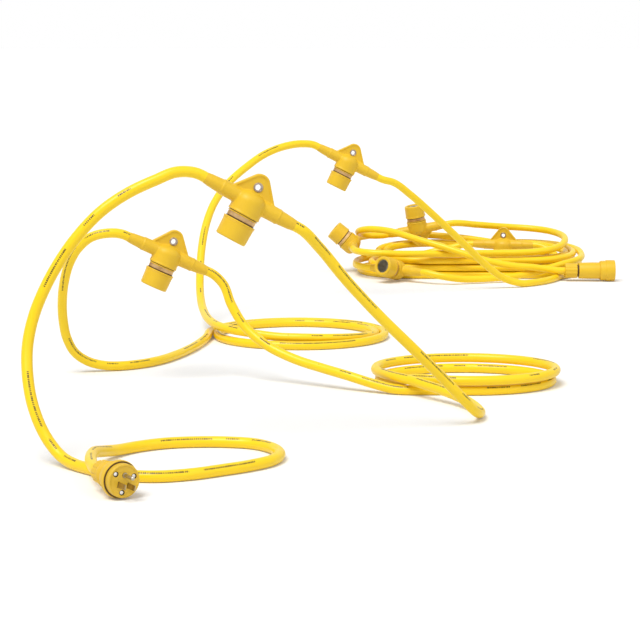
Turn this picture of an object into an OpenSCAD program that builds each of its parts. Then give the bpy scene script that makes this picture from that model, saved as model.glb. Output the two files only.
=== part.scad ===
// Heavy-duty lighting string: moulded in-line lampholders on one round jacketed cord, with
// a three-pin plug on one end and a sleeved connector on the other. Millimetres.
// X runs to the right, Y away from the plug and Z up. The origin is on the floor, under
// the middle of the rigid pieces.

/* [Cord] */
// Outside diameter of the cord's jacket
cord_d = 15; // [14:0.25:15.25]
// Sideways step from one turn of the hank to the next
lay_step = 16.4; // [16.2:0.1:16.8]

/* [Lampholder body] */
// Diameter of the hub round the lamp's axis
hub_d = 44; // [43:0.5:47]
// Depth of the hub's rim below the cord's axis
hub_drop = 19.5; // [18:0.5:22]
// Height of the hub's domed top above the cord's axis
hub_rise = 14.5; // [13.5:0.5:15]
// Length of the moulding along the cord, over both sleeves
sleeve_span = 125; // [118:1:126]
// Diameter of a sleeve at the hub
sleeve_root_d = 22; // [20:0.5:24]
// Diameter of a sleeve at its tip
sleeve_tip_d = 17; // [16.5:0.5:19]
// Wall between the insert's cavity and the outside of the hub
cavity_wall = 4.4; // [3.6:0.2:5]
// Depth of the insert's cavity above the hub's rim
cavity_depth = 5.5; // [4.5:0.5:7]

/* [Hanging tab] */
// Height of the tab's rounded apex above the cord's axis
tab_rise = 40; // [37:1:43]
// Half the tab's length along the cord
tab_reach = 33; // [28:1:38]
// Radius of the apex
tab_round = 14; // [12:0.5:15]
// Thickness of the tab's raised rim
tab_rim_t = 9; // [7.5:0.5:11]
// Width of the raised rim
tab_rim_w = 3; // [2:0.5:4]
// Thickness of the web inside the rim
tab_web_t = 6; // [4:0.5:7]
// Height of the eyelet above the cord's axis
eyelet_rise = 21.5; // [21:0.5:24]
// Clear hole of the eyelet
eyelet_bore = 8; // [6:0.5:9]
// Diameter of the eyelet's flange
eyelet_flange_d = 13; // [12:0.5:14]

/* [Lamp end] */
// Outside diameter of the metal collar
collar_d = 40; // [38.5:0.5:42]
// Height of the collar that shows between the mouldings
collar_h = 9.5; // [7:0.5:11]
// Length of the rubber skirt
skirt_h = 27; // [25:0.5:30]
// Outside diameter of the skirt
skirt_d = 45.5; // [44:0.5:49]
// How far the band at the skirt's top stands proud
skirt_band = 0.8; // [0.4:0.1:1.4]
// Inside diameter of the lamp's screw shell
shell_bore = 26.6; // [26:0.1:27]
// Thickness of the screw shell's sheet
shell_t = 0.6; // [0.4:0.1:0.8]
// Length of the screw shell
shell_h = 29; // [26:0.5:30]
// Travel of the sprung centre contact
contact_travel = 1.5; // [1:0.1:2]
// Diameter of the centre contact's button
contact_d = 8; // [7:0.5:9]

/* [Plug] */
// Diameter of the plug's rim
plug_d = 46; // [44:0.5:46]
// Diameter of the face that stands ahead of the rim
plug_face_d = 41; // [39:0.5:42]
// How far the face stands ahead of the rim
plug_face_lead = 9; // [6:0.5:11]
// Length of the plug's shell behind the face
plug_shell_h = 38; // [34:1:40]
// Diameter of the shell where it meets the clamp nut
plug_neck_d = 31; // [29:0.5:34]
// Spacing of the two line blades
blade_pitch = 12.7; // [12.7:0.1:12.7]
// Length of a line blade ahead of the face
blade_l = 17.9; // [16:0.1:18.3]
// Width of a line blade
blade_w = 6.35; // [6.1:0.05:6.5]
// Thickness of a line blade
blade_t = 1.52; // [1.4:0.02:1.65]
// Distance from the blades' line to the ground pin
ground_offset = 11.9; // [11.7:0.1:12]
// Diameter of the ground pin
ground_d = 4.75; // [4.6:0.05:4.85]
// Length of the ground pin ahead of the face
ground_l = 21.4; // [20:0.2:22]
// Radius of the circle that the face screws lie on
screw_circle = 14; // [13.5:0.25:14.5]

/* [Connector] */
// Diameter of the connector's body
conn_body_d = 36; // [34:0.5:38]
// Length of the connector's body
conn_body_h = 46; // [40:1:48]
// Diameter of the sleeve at the mouth
conn_lip_d = 46; // [44:0.5:46]
// Length of the sleeve at the mouth
conn_lip_h = 32; // [28:1:34]
// Depth of the mouth
conn_mouth_h = 18; // [14:1:22]
// Wall of the sleeve round the mouth
conn_lip_wall = 2.2; // [2:0.1:2.3]
// Open gap between the clamp nut and the body
conn_gap = 4; // [3:0.5:5]

/* [Clamp nuts] */
// Diameter of a clamp nut
nut_d = 32; // [30:0.5:33]
// Length of the plug's clamp nut
plug_nut_h = 14; // [12:1:16]
// Length of the connector's clamp nut
conn_nut_h = 26; // [22:1:28]
// Number of grip flutes on a clamp nut
nut_flutes = 12; // [8:1:16]
// Depth of a grip flute
flute_depth = 1; // [0.6:0.1:1.4]

/* [Fits] */
// Clearance between pieces that turn or slide on each other
run_gap = 0.3; // [0.25:0.05:0.4]
// Clearance between pieces that are fixed in each other
seat_gap = 0.1; // [0.05:0.05:0.15]

/* [Hidden] */

jacket_yellow = [1.0, 0.83, 0.10];
mould_yellow = [0.96, 0.79, 0.24];
face_yellow = [0.90, 0.73, 0.18];
nickel = [0.78, 0.74, 0.66];
brass = [0.80, 0.62, 0.30];
porcelain = [0.90, 0.88, 0.82];
eps = 0.01;
$fn = 48;

function unit(v) = v / norm(v);

// A vector turned as rotate([a, b, c]) turns a shape.
function turn_x(v, a) = [v.x, v.y * cos(a) - v.z * sin(a), v.y * sin(a) + v.z * cos(a)];
function turn_y(v, b) = [v.x * cos(b) + v.z * sin(b), v.y, -v.x * sin(b) + v.z * cos(b)];
function turn_z(v, c) = [v.x * cos(c) - v.y * sin(c), v.x * sin(c) + v.y * cos(c), v.z];
function turned(v, a) = turn_z(turn_y(turn_x(v, a.x), a.y), a.z);

// Each lampholder: the crossing of its cord and lamp axes, and its turns about X, Y and Z.
// Its own X runs along the cord towards the connector, and the lamp hangs down its own Z.
// The first three hang in the air on the stiff cord, the others lie in the hank.
HOLDERS = [
  [[-266, -816, 325], [0, 29, 12]],
  [[-412, -340, 201], [0, -25, 195]],
  [[-117, 611, 279], [0, 27, 10]],
  [[244, 1092, 58], [0, 0, 168]],
  [[-6, 892, 24], [-105, 0, -38]],
  [[-100, 1042, 62], [-130, 0, -90]],
  [[50, 1123, 90], [175, 10, 180]]];

// Lampholder, in its own frame: radii and heights that follow from the dimensions above.
hub_r = hub_d / 2;
rim_bead = 0.6;
cavity_r = hub_r - cavity_wall;
cavity_top = cavity_depth - hub_drop;
insert_r = cavity_r - seat_gap;
collar_foot = -hub_drop - collar_h;
skirt_top = collar_foot - run_gap;
skirt_foot = skirt_top - skirt_h;
shell_r = shell_bore / 2 + shell_t;
shell_top = cavity_top - 10;
insert_foot = shell_top + seat_gap;
shell_foot = shell_top - shell_h;
shell_relief = 0.2;
shell_relief_h = 3.1;
contact_h = 3;
contact_top = shell_top + 1;
recess_top = contact_top + contact_travel + run_gap;
contact_stem_d = 3.4;
eyelet_wall = 0.6;
tab_foot = 8;

// Plug and connector, each along its own Z from the cord towards the mating face. The
// plug's Z is 0 on its face and the connector's is 0 on the back of its clamp nut.
plug_groove = 1;
plug_rim_h = 8;
plug_back = -plug_face_lead - plug_groove - plug_shell_h;
nut_wall = 2;
nut_hole_r = cord_d / 2 + 0.4;
spigot_r = nut_d / 2 - 5.5;
plug_nut_d = plug_neck_d - 1;
plug_spigot_end = run_gap + plug_nut_h - nut_wall - run_gap - plug_back;
conn_spigot_start = nut_wall + run_gap;
ground_root_r = ground_d / 2 + 0.6;
plug_roll = -12;
ground_up = 7;
conn_body_z = conn_nut_h + conn_gap;
conn_length = conn_body_z + conn_body_h + conn_lip_h;
conn_face_z = conn_length - conn_mouth_h;
conn_lip_z = conn_length - conn_lip_h;
conn_lip_floor = 4;
conn_seat_wall = 3.5;
conn_insert_h = 10;
conn_boss_h = 16;
conn_boss_r = 14.5;
slot_w = 2;
slot_l = 7.2;
contact_sheet = 0.8;
conn_ground_r = 2.6;

PLUG_PLACE = [[-405, -1139, plug_d / 2], [0, 90, -58]];
CONN_PLACE = [[361, 892, conn_lip_d / 2], [0, 90, 0]];

count = len(HOLDERS);

function holder_way(i) = turned([1, 0, 0], HOLDERS[i][1]);
function holder_in(i) = HOLDERS[i][0] - sleeve_span / 2 * holder_way(i);
function holder_out(i) = HOLDERS[i][0] + sleeve_span / 2 * holder_way(i);
function plug_way() = turned([0, 0, 1], PLUG_PLACE[1]);
function conn_way() = turned([0, 0, 1], CONN_PLACE[1]);

// ---- cord ------------------------------------------------------------------------------
floor_z = cord_d / 2;
lead = cord_d;

// The two points that run a tube straight out of a face, or straight into one.
function leaving(p, way) = [p, p + lead * way];
function entering(p, way) = [p - lead * way, p];

function heading(p, i) =
  i == 0 ? unit(p[1] - p[0])
  : i == len(p) - 1 ? unit(p[i] - p[i - 1])
  : unit(unit(p[i + 1] - p[i]) + unit(p[i] - p[i - 1]));

// One sideways vector at each point, carried along without twist.
function carried(n, t) = unit(n - (n * t) * t);
function sideways(p) = [
  for (i = 0, n = carried(cross([0, 0, 1], heading(p, 0)), heading(p, 0));
       i < len(p);
       i = i + 1, n = i < len(p) ? carried(n, heading(p, i)) : n) n];

function ring(p, i, n, sides) =
  let (t = heading(p, i), b = cross(t, n))
  [for (k = [0:sides - 1]) let (a = 90 + k * 360 / sides)
     p[i] + cord_d / 2 * (cos(a) * n + sin(a) * b)];

module tube(p, sides) {
  n = sideways(p);
  rings = [for (i = [0:len(p) - 1]) each ring(p, i, n[i], sides)];
  last = (len(p) - 1) * sides;
  walls = [
    for (i = [0:len(p) - 2], k = [0:sides - 1])
      let (a = i * sides + k, b = i * sides + (k + 1) % sides)
      each [[a, b, b + sides], [a, b + sides, a + sides]]];
  caps = [for (k = [1:sides - 2]) each [[0, k + 1, k], [last, last + k, last + k + 1]]];
  color(jacket_yellow) polyhedron(points = rings, faces = concat(walls, caps));
}

// Least gap between parts of one tube that are over half a turn apart along it.
function to_segment(q, a, b) =
  let (ab = b - a, s = max(0, min(1, (q - a) * ab / (ab * ab)))) norm(q - a - s * ab);
function self_gap(p, skip = 9) =
  min([for (i = [0:len(p) - 1], j = [0:len(p) - 2]) if (abs(i - j) > skip)
         to_segment(p[i], p[j], p[j + 1])]) - cord_d;

rings_per_turn = 24;
free_sides = 8;
wound_sides = 6;

// Share of a step that a turn has taken after the share f of itself.
function eased(f, from, to) =
  let (s = max(0, min(1, (f - from) / (to - from)))) s * s * (3 - 2 * s);

// Coil on the floor, wound clockwise seen from above, that draws in steadily and changes
// its height once.
function coil_point(c, t) =
  let (a = c[2] - 360 * t)
  [c[0].x + (c[1].x - c[4] * t) * cos(a), c[0].y + (c[1].y - c[4] * t) * sin(a),
   c[3] + c[5] * eased(t, c[6], c[7])];
function coil_way(c, t) = unit(coil_point(c, t + 0.004) - coil_point(c, t - 0.004));
function coil_path(c, steps) =
  let (end = steps / rings_per_turn)
  concat([coil_point(c, 0) - lead * coil_way(c, 0)],
         [for (i = [0:steps]) coil_point(c, i / rings_per_turn)],
         [coil_point(c, end) + lead * coil_way(c, end)]);

// Centre, half axes, starting angle, starting height, step inwards per turn, change of
// height, and the turns at which that change starts and ends.
COIL_2 = [[55, -367], [142, 109], 185, floor_z + 16, 6, -16, 0.85, 0.97];
COIL_3 = [[-212, 97], [162, 150], 184, floor_z, lay_step, 12, 1.45, 1.8];
coil_2_steps = 43;
coil_3_steps = 43;
coil_2_end = coil_2_steps / rings_per_turn;
coil_3_end = coil_3_steps / rings_per_turn;

// Turns of the hank: round-ended loops wound anticlockwise seen from above. Half a loop is
// an end of radius b and half is two straight runs, and u counts loops from the right end.
function loop_point(w, u) =
  let (v = u - floor(u), b = w[2] + w[3] * (u - w[4]), s = w[1],
       a = v < 1/6 ? v * 540 : v < 1/3 ? 90 : v < 2/3 ? 90 + (v - 1/3) * 540
           : v < 5/6 ? 270 : 270 + (v - 5/6) * 540,
       x = v < 1/6 ? s : v < 1/3 ? s - (v - 1/6) * 12 * s : v < 2/3 ? -s
           : v < 5/6 ? -s + (v - 2/3) * 12 * s : s,
       y = b * sin(a))
  [w[0].x + x + b * cos(a), w[0].y + y, w[5] + w[6] * (y + 125) / 250];
function loop_way(w, u) = unit(loop_point(w, u + 0.002) - loop_point(w, u - 0.002));
function loop_run(w, from, to) =
  [for (i = [0:round((to - from) * rings_per_turn)]) loop_point(w, from + i / rings_per_turn)];

// Centre, half of a straight run, radius of an end at loop w[4], step per loop, height at
// the front and rise towards the back.
LAY_A = [[164, 1044], 131, 125, -lay_step, -1/12, floor_z, 0];
LAY_B = [[172, 1044], 123, 90, lay_step, 1/2, floor_z + 16, 2];
LAY_C = [[181, 1044], 106, 125, -lay_step, 0, floor_z + 32, 16];

// ---- routes ----------------------------------------------------------------------------
// Points of the cord where it isn't wound, chosen by hand, between the ends that follow
// from the pieces that they meet.
plug_tail = PLUG_PLACE[0] - plug_spigot_end * plug_way();
conn_tail = CONN_PLACE[0] + conn_spigot_start * conn_way();
ROUTE_1 = concat(leaving(plug_tail, -plug_way()), [
  [-454, -1045, 24], [-459, -1010, 24], [-459, -973, 22], [-452, -935, 15], [-437, -899, 9],
  [-411, -869, 7.5], [-377, -849, 7.5], [-338, -841, 7.5], [-296, -842, 7.5],
  [-261, -853, 7.5], [-236, -881, 7.5], [-226, -919, 7.5], [-236, -956, 7.5],
  [-261, -984, 7.5], [-296, -1010, 7.5], [-334, -1034, 7.5], [-373, -1046, 7.5],
  [-412, -1041, 7.5], [-447, -1018, 7.5], [-478, -986, 7.5], [-504, -959, 15],
  [-524, -945, 37], [-540, -934, 71], [-549, -918, 108], [-551, -901, 146],
  [-544, -889, 183], [-530, -883, 218], [-512, -878, 251], [-487, -872, 286],
  [-457, -866, 317], [-423, -858, 340], [-388, -849, 356], [-360, -839, 366]],
  entering(holder_in(0), holder_way(0)));
ROUTE_2_FALL = concat(leaving(holder_out(0), holder_way(0)), [
  [-176, -784, 262], [-139, -766, 215], [-92, -747, 162], [-46, -730, 115],
  [-4, -711, 71], [26, -696, 38], [47, -672, 15], [55, -636, 8], [49, -601, 10],
  [29, -556, 15], [6, -524, 19], [-16, -497, 22], [-38, -471, 24.5], [-63, -441, 25]],
  entering(coil_point(COIL_2, 0) - lead * coil_way(COIL_2, 0), coil_way(COIL_2, 0)));
ROUTE_2_RISE = concat(
  leaving(coil_point(COIL_2, coil_2_end) + lead * coil_way(COIL_2, coil_2_end),
          coil_way(COIL_2, coil_2_end)), [
  [-30, -463, 7.5], [-60, -459, 8.5], [-92, -445, 14], [-130, -427, 23], [-171, -402, 31],
  [-214, -377, 41], [-259, -355, 60], [-293, -337, 87], [-314, -326, 120], [-327, -320, 151.5]],
  entering(holder_in(1), holder_way(1)));
ROUTE_3_DROP = concat(leaving(holder_out(1), holder_way(1)), [
  [-504, -363, 236], [-528, -362, 230], [-549, -355, 213], [-565, -342, 188],
  [-576, -327, 156], [-582, -310, 121], [-583, -295, 89], [-579, -284, 59],
  [-568, -273, 34], [-549, -262, 18], [-525, -254, 10], [-493, -244, 7.5],
  [-463, -223, 7.5], [-439, -191, 7.5], [-418, -144, 7.5], [-399, -84, 7.5],
  [-385, -21, 7.5]],
  entering(coil_point(COIL_3, 0) - lead * coil_way(COIL_3, 0), coil_way(COIL_3, 0)));
ROUTE_3_RISE = concat(
  leaving(coil_point(COIL_3, coil_3_end) + lead * coil_way(COIL_3, coil_3_end),
          coil_way(COIL_3, coil_3_end)), [
  [-300, -6, 25], [-331, 16, 27], [-354, 48, 29], [-369, 88, 31], [-379, 132, 33],
  [-387, 179, 37], [-394, 226, 46], [-399, 270, 64], [-401, 310, 93], [-400, 350, 131],
  [-394, 392, 172], [-380, 434, 211], [-355, 475, 246], [-320, 510, 276],
  [-279, 546, 302], [-240, 573, 314.5], [-211, 589, 317.5]],
  entering(holder_in(2), holder_way(2)));
ROUTE_4_DROP = concat(leaving(holder_out(2), holder_way(2)), [
  [-24, 636, 236], [12, 655, 209], [52, 680, 173], [94, 704, 133], [138, 730, 90],
  [180, 754, 49], [222, 774, 19], [262, 792, 7.5], [300, 824, 7.5], [329, 865, 7.5],
  [348, 904, 7.5]],
  entering(loop_point(LAY_A, -1/12) - lead * loop_way(LAY_A, -1/12), loop_way(LAY_A, -1/12)));
HANK_4 = concat(
  [loop_point(LAY_A, -1/12) - lead * loop_way(LAY_A, -1/12)],
  loop_run(LAY_A, -1/12, 1.875), [
  [351, 972, 8], [363, 989, 11], [368, 1008, 17], [368, 1026, 25], [362, 1044, 35],
  [351, 1059, 45], [337, 1069, 53]],
  entering(holder_in(3), holder_way(3)));
HANK_5 = concat(leaving(holder_out(3), holder_way(3)), [
  [136, 1112, 51], [101, 1113, 43], [66, 1112, 35], [32, 1110, 28], [1, 1105, 25],
  [-23, 1087, 23.5], [-36, 1063, 23.5]],
  loop_run(LAY_B, 1/2, 2 + 1/3), [
  [26, 1164, 25], [-14, 1157, 25], [-50, 1136, 25], [-76, 1105, 24.5], [-88, 1076, 24],
  [-92, 1046, 24], [-93, 1016, 24], [-93, 991, 24], [-89, 971, 24], [-80, 954, 24]],
  entering(holder_in(4), holder_way(4)));
HANK_6 = concat(leaving(holder_out(4), holder_way(4)), [
  [78, 834, 20], [106, 831, 15], [135, 838, 11], [164, 848, 10], [194, 858, 10],
  [225, 869, 11], [256, 882, 13], [284, 895, 16], [311, 907, 21], [336, 917, 27.5],
  [361, 929, 33], [385, 946, 37], [402, 969, 40], [410, 997, 41.5]],
  loop_run(LAY_C, 0, 2 + 1/6), [
  [246, 1133, 56], [211, 1134, 61], [176, 1137, 66], [141, 1143, 69.5], [106, 1150, 72],
  [71, 1158, 73.5], [36, 1169, 74], [-2, 1180, 73.5], [-38, 1184, 71.5], [-63, 1177, 69],
  [-84, 1162, 66.5], [-96, 1141, 64]],
  entering(holder_in(5), holder_way(5)));
ROUTE_7 = concat(leaving(holder_out(5), holder_way(5)), [
  [-95, 939, 61.5], [-80, 918, 61], [-59, 905, 60.5], [-30, 901, 59.5], [8, 905, 58],
  [56, 912, 57.5], [101, 919, 57], [146, 925, 57], [191, 929, 57], [233, 931, 57.5],
  [270, 932, 58], [305, 939, 59.5], [338, 958, 62.5], [363, 988, 68], [376, 1024, 75],
  [376, 1063, 81], [363, 1100, 85], [338, 1130, 88], [305, 1148, 90], [268, 1153, 92],
  [228, 1148, 95], [188, 1138, 99]],
  entering(holder_in(6), holder_way(6)));
ROUTE_8 = concat(leaving(holder_out(6), holder_way(6)), [
  [-48, 1120, 75.5], [-68, 1109, 78], [-82, 1091, 83.5], [-87, 1068, 90], [-81, 1045, 96],
  [-64, 1024, 100.5], [-37, 1003, 101], [-8, 979, 98], [20, 956, 91.5], [50, 934, 84],
  [82, 916, 76.5], [113, 902, 68], [142, 893, 59], [170, 888, 50.5], [200, 885, 43],
  [230, 884, 37], [260, 885, 33], [290, 886, 31], [318, 889, 27]],
  entering(conn_tail, conn_way()));

// ---- lampholder ------------------------------------------------------------------------
module at_holder(i) {
  translate(HOLDERS[i][0]) rotate(HOLDERS[i][1]) children();
}

// Outline of the tab in the plane of the cord's and the lamp's axes, drawn in by inset.
module tab_outline(inset) {
  c = [0, tab_rise - tab_round];
  foot = [tab_reach, tab_foot];
  span = foot - c;
  tangent = atan2(span.y, span.x) + acos(tab_round / norm(span));
  flank = tangent - 90;
  r = tab_round - inset;
  base = tab_reach - inset / sin(-flank);
  t = c + r * [cos(tangent), sin(tangent)];
  translate(c) circle(r = r);
  polygon([[-base, 0], [base, 0], [base, tab_foot], t, c, [-t.x, t.y], [-base, tab_foot]]);
}

module tab_plate(thickness) {
  rotate([90, 0, 0]) linear_extrude(thickness, center = true) children();
}

module holder_moulding() {
  half = sleeve_span / 2;
  step = half - 20;
  color(mould_yellow) difference() {
    union() {
      rotate_extrude() polygon(concat(
        [[0, -hub_drop], [hub_r + rim_bead, -hub_drop], [hub_r + rim_bead, 2 - hub_drop],
         [hub_r, 2.8 - hub_drop]],
        [for (a = [0:15:90]) [hub_r * cos(a), hub_rise * sin(a)]]));
      rotate([0, 90, 0]) rotate_extrude() polygon([
        [0, -half], [sleeve_tip_d / 2, -half], [sleeve_root_d / 2 - 1, -step],
        [sleeve_root_d / 2 - 0.5, -step + 0.5], [sleeve_root_d / 2, 0],
        [sleeve_root_d / 2 - 0.5, step - 0.5], [sleeve_root_d / 2 - 1, step],
        [sleeve_tip_d / 2, half], [0, half]]);
      tab_plate(tab_web_t) tab_outline(0);
      tab_plate(tab_rim_t) difference() {
        tab_outline(0);
        tab_outline(tab_rim_w);
      }
    }
    translate([0, 0, -hub_drop - eps]) cylinder(r = cavity_r, h = cavity_depth + eps);
    translate([0, 0, eyelet_rise]) rotate([90, 0, 0])
      cylinder(r = eyelet_bore / 2 + eyelet_wall + seat_gap, h = 3 * tab_rim_t, center = true);
  }
}

module tab_eyelet() {
  barrel = tab_web_t / 2 + 0.8;
  flange = tab_web_t / 2;
  wall_r = eyelet_bore / 2 + eyelet_wall;
  color(nickel) translate([0, 0, eyelet_rise]) rotate([90, 0, 0]) rotate_extrude() polygon([
    [eyelet_bore / 2, -barrel], [eyelet_flange_d / 2 - 0.4, -barrel],
    [eyelet_flange_d / 2, -flange], [wall_r, -flange], [wall_r, flange],
    [eyelet_flange_d / 2, flange], [eyelet_flange_d / 2 - 0.4, barrel],
    [eyelet_bore / 2, barrel]]);
}

module socket_collar() {
  color(nickel) rotate_extrude() polygon([
    [insert_r + seat_gap, -hub_drop], [collar_d / 2, -hub_drop],
    [collar_d / 2, collar_foot + 2], [collar_d / 2 - 0.8, collar_foot + 1.4],
    [collar_d / 2 - 0.8, collar_foot], [insert_r + seat_gap, collar_foot]]);
}

module socket_insert() {
  color(porcelain) difference() {
    translate([0, 0, insert_foot]) cylinder(r = insert_r, h = cavity_top - insert_foot);
    translate([0, 0, insert_foot - eps])
      cylinder(r = contact_d / 2 + 0.5, h = recess_top - insert_foot + eps);
    translate([0, 0, recess_top - eps])
      cylinder(r = contact_stem_d / 2 + run_gap, h = cavity_top - recess_top + 2 * eps);
  }
}

module screw_shell() {
  bore_r = shell_bore / 2;
  relief_r = bore_r + shell_relief;
  color(brass) rotate_extrude() polygon([
    [bore_r, shell_foot], [shell_r, shell_foot], [shell_r, shell_top], [relief_r, shell_top],
    [relief_r, shell_top - shell_relief_h], [bore_r, shell_top - shell_relief_h]]);
}

module contact_pin() {
  r = contact_d / 2;
  stem_r = contact_stem_d / 2;
  stem_top = cavity_top - contact_travel - 0.5;
  foot = contact_top - contact_h;
  color(brass) rotate_extrude() polygon([
    [0, foot], [r - 1.4, foot], [r, foot + 1.1], [r, contact_top], [stem_r, contact_top],
    [stem_r, stem_top], [0, stem_top]]);
}

module skirt() {
  r = skirt_d / 2;
  body_r = r - skirt_band;
  foot_r = body_r - 0.7;
  bore_r = shell_r + run_gap;
  color(mould_yellow) rotate_extrude() polygon(concat(
    [[bore_r, skirt_top], [r - 0.5, skirt_top], [r, skirt_top - 0.6],
     [r, skirt_top - 2.6], [body_r, skirt_top - 3.2]],
    [for (a = [0:22.5:90]) [foot_r - 3 + 3 * cos(a), skirt_foot + 3 - 3 * sin(a)]],
    [[bore_r + 1.6, skirt_foot], [bore_r, skirt_foot + 1.6]]));
}

// ---- clamp nuts, plug and connector ----------------------------------------------------
// A nut with its open end at z = 0 and its wall, which the cord runs through, at z = -h.
module clamp_nut(d, h) {
  r = d / 2;
  color(mould_yellow) difference() {
    rotate_extrude() polygon([
      [nut_hole_r, -h], [r - 1.5, -h], [r - 0.4, 1.5 - h], [r, -1], [r - 0.8, 0],
      [spigot_r + run_gap, 0], [spigot_r + run_gap, nut_wall - h],
      [nut_hole_r, nut_wall - h]]);
    for (i = [0:nut_flutes - 1]) rotate([0, 0, i * 360 / nut_flutes])
      translate([r + 2 - flute_depth, 0, -h - 1]) cylinder(r = 2, h = h + 2, $fn = 16);
  }
}

module at_plug() {
  translate(PLUG_PLACE[0]) rotate(PLUG_PLACE[1]) children();
}

module at_connector() {
  translate(CONN_PLACE[0]) rotate(CONN_PLACE[1]) children();
}

// Places of the blades, the ground pin and the screws on a mating face, with ground up.
module at_blades() {
  for (s = [-1, 1]) translate([ground_offset - ground_up, s * blade_pitch / 2, 0]) children();
}
module at_ground() {
  translate([-ground_up, 0, 0]) children();
}
module at_screws() {
  for (a = [60, 180, 300]) rotate([0, 0, 180 + a]) translate([screw_circle, 0, 0]) children();
}

plug_cavity_r = 17;
plug_boss_back = -plug_face_lead - 13;

module plug_housing() {
  front = -plug_face_lead - plug_groove;
  rim_r = plug_d / 2;
  neck_r = plug_neck_d / 2;
  color(mould_yellow) difference() {
    rotate_extrude() polygon(concat(
      [[0, -plug_spigot_end], [spigot_r, -plug_spigot_end], [spigot_r, plug_back],
       [neck_r - 1, plug_back], [neck_r, plug_back + 1]],
      [for (i = [0:4]) each [
        [neck_r + i * 0.55, plug_back + 3 + i * 3], [neck_r + i * 0.55 + 0.6, plug_back + 3.8 + i * 3],
        [neck_r + i * 0.55 + 0.6, plug_back + 5 + i * 3]]],
      [[rim_r - 1.2, front - plug_rim_h], [rim_r, front - plug_rim_h + 1.2],
       [rim_r, front - 1], [rim_r - 1, front], [0, front]]));
    translate([0, 0, plug_boss_back]) cylinder(r = plug_cavity_r + seat_gap, h = 60);
  }
}

module plug_face_plate() {
  color(face_yellow) difference() {
    union() {
      rotate_extrude() polygon([
        [0, -plug_face_lead], [plug_face_d / 2, -plug_face_lead],
        [plug_face_d / 2, -1.2], [plug_face_d / 2 - 1.2, 0], [0, 0]]);
      translate([0, 0, plug_boss_back])
        cylinder(r = plug_cavity_r, h = -plug_face_lead - plug_boss_back + eps);
    }
    rotate([0, 0, plug_roll]) {
      at_blades() translate([-blade_w / 2 - seat_gap, -blade_t / 2 - seat_gap, -14])
        cube([blade_w + 2 * seat_gap, blade_t + 2 * seat_gap, 20]);
      at_ground() translate([0, 0, -14]) cylinder(r = ground_root_r + seat_gap, h = 20);
      at_screws() {
        translate([0, 0, -1.6]) cylinder(r = 3, h = 5);
        translate([0, 0, -10]) cylinder(r = 1.5, h = 15);
      }
    }
  }
}

module connector_housing() {
  r = conn_body_d / 2;
  top = conn_face_z - conn_insert_h;
  color(mould_yellow) difference() {
    rotate_extrude() polygon([
      [0, conn_spigot_start], [spigot_r, conn_spigot_start],
      [spigot_r, conn_nut_h + run_gap], [12, conn_nut_h + run_gap], [12, conn_body_z],
      [r - 1.5, conn_body_z], [r, conn_body_z + 1.5], [r, top], [0, top]]);
    translate([0, 0, top - conn_boss_h])
      cylinder(r = conn_boss_r + seat_gap, h = conn_boss_h + eps);
  }
}

module connector_sleeve() {
  r = conn_lip_d / 2;
  seat_r = conn_body_d / 2 + seat_gap;
  color(mould_yellow) rotate_extrude() polygon([
    [seat_r, conn_lip_z], [r - 2.5, conn_lip_z], [r - 1.4, conn_lip_z + 2.5],
    [r - 1.4, conn_lip_z + 12], [r, conn_lip_z + 13], [r, conn_length - 1],
    [r - 1, conn_length], [r - conn_lip_wall, conn_length],
    [r - conn_lip_wall, conn_face_z], [r - conn_seat_wall, conn_face_z],
    [r - conn_seat_wall, conn_lip_z + conn_lip_floor], [seat_r, conn_lip_z + conn_lip_floor]]);
}

module connector_insert() {
  top = conn_face_z - conn_insert_h;
  color(face_yellow) difference() {
    union() {
      translate([0, 0, top])
        cylinder(r = conn_lip_d / 2 - conn_seat_wall - seat_gap, h = conn_insert_h);
      translate([0, 0, top - conn_boss_h]) cylinder(r = conn_boss_r, h = conn_boss_h + eps);
    }
    at_blades() {
      translate([-slot_l / 2, -slot_w / 2, top]) cube([slot_l, slot_w, 2 * conn_insert_h]);
      translate([0, 0, top - conn_boss_h / 2 - 2]) cube([
        slot_l + 2 * contact_sheet + 2 * seat_gap, slot_w + 2 * contact_sheet + 2 * seat_gap,
        conn_boss_h + 8], center = true);
    }
    at_ground() {
      translate([0, 0, top]) cylinder(r = conn_ground_r, h = 2 * conn_insert_h);
      translate([0, 0, top - conn_boss_h - 1])
        cylinder(r = conn_ground_r + contact_sheet + seat_gap, h = conn_boss_h + 3);
    }
  }
}

module connector_contact_set() {
  foot = conn_face_z - conn_insert_h - conn_boss_h + 1;
  h = conn_boss_h;
  at_blades() difference() {
    translate([-slot_l / 2 - contact_sheet, -slot_w / 2 - contact_sheet, foot])
      cube([slot_l + 2 * contact_sheet, slot_w + 2 * contact_sheet, h]);
    translate([-slot_l / 2, -slot_w / 2, foot - 1]) cube([slot_l, slot_w, h + 2]);
  }
  at_ground() difference() {
    translate([0, 0, foot]) cylinder(r = conn_ground_r + contact_sheet, h = h);
    translate([0, 0, foot - 1]) cylinder(r = conn_ground_r, h = h + 2);
  }
}

// ---- nodes -----------------------------------------------------------------------------
module holder_body(n) { at_holder(n - 1) holder_moulding(); }
module lamp_skirt(n) { at_holder(n - 1) skirt(); }
module centre_contact(n) { at_holder(n - 1) contact_pin(); }
module collars() { for (i = [0:count - 1]) at_holder(i) socket_collar(); }
module socket_inserts() { for (i = [0:count - 1]) at_holder(i) socket_insert(); }
module screw_shells() { for (i = [0:count - 1]) at_holder(i) screw_shell(); }
module tab_eyelets() { for (i = [0:count - 1]) at_holder(i) tab_eyelet(); }

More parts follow.
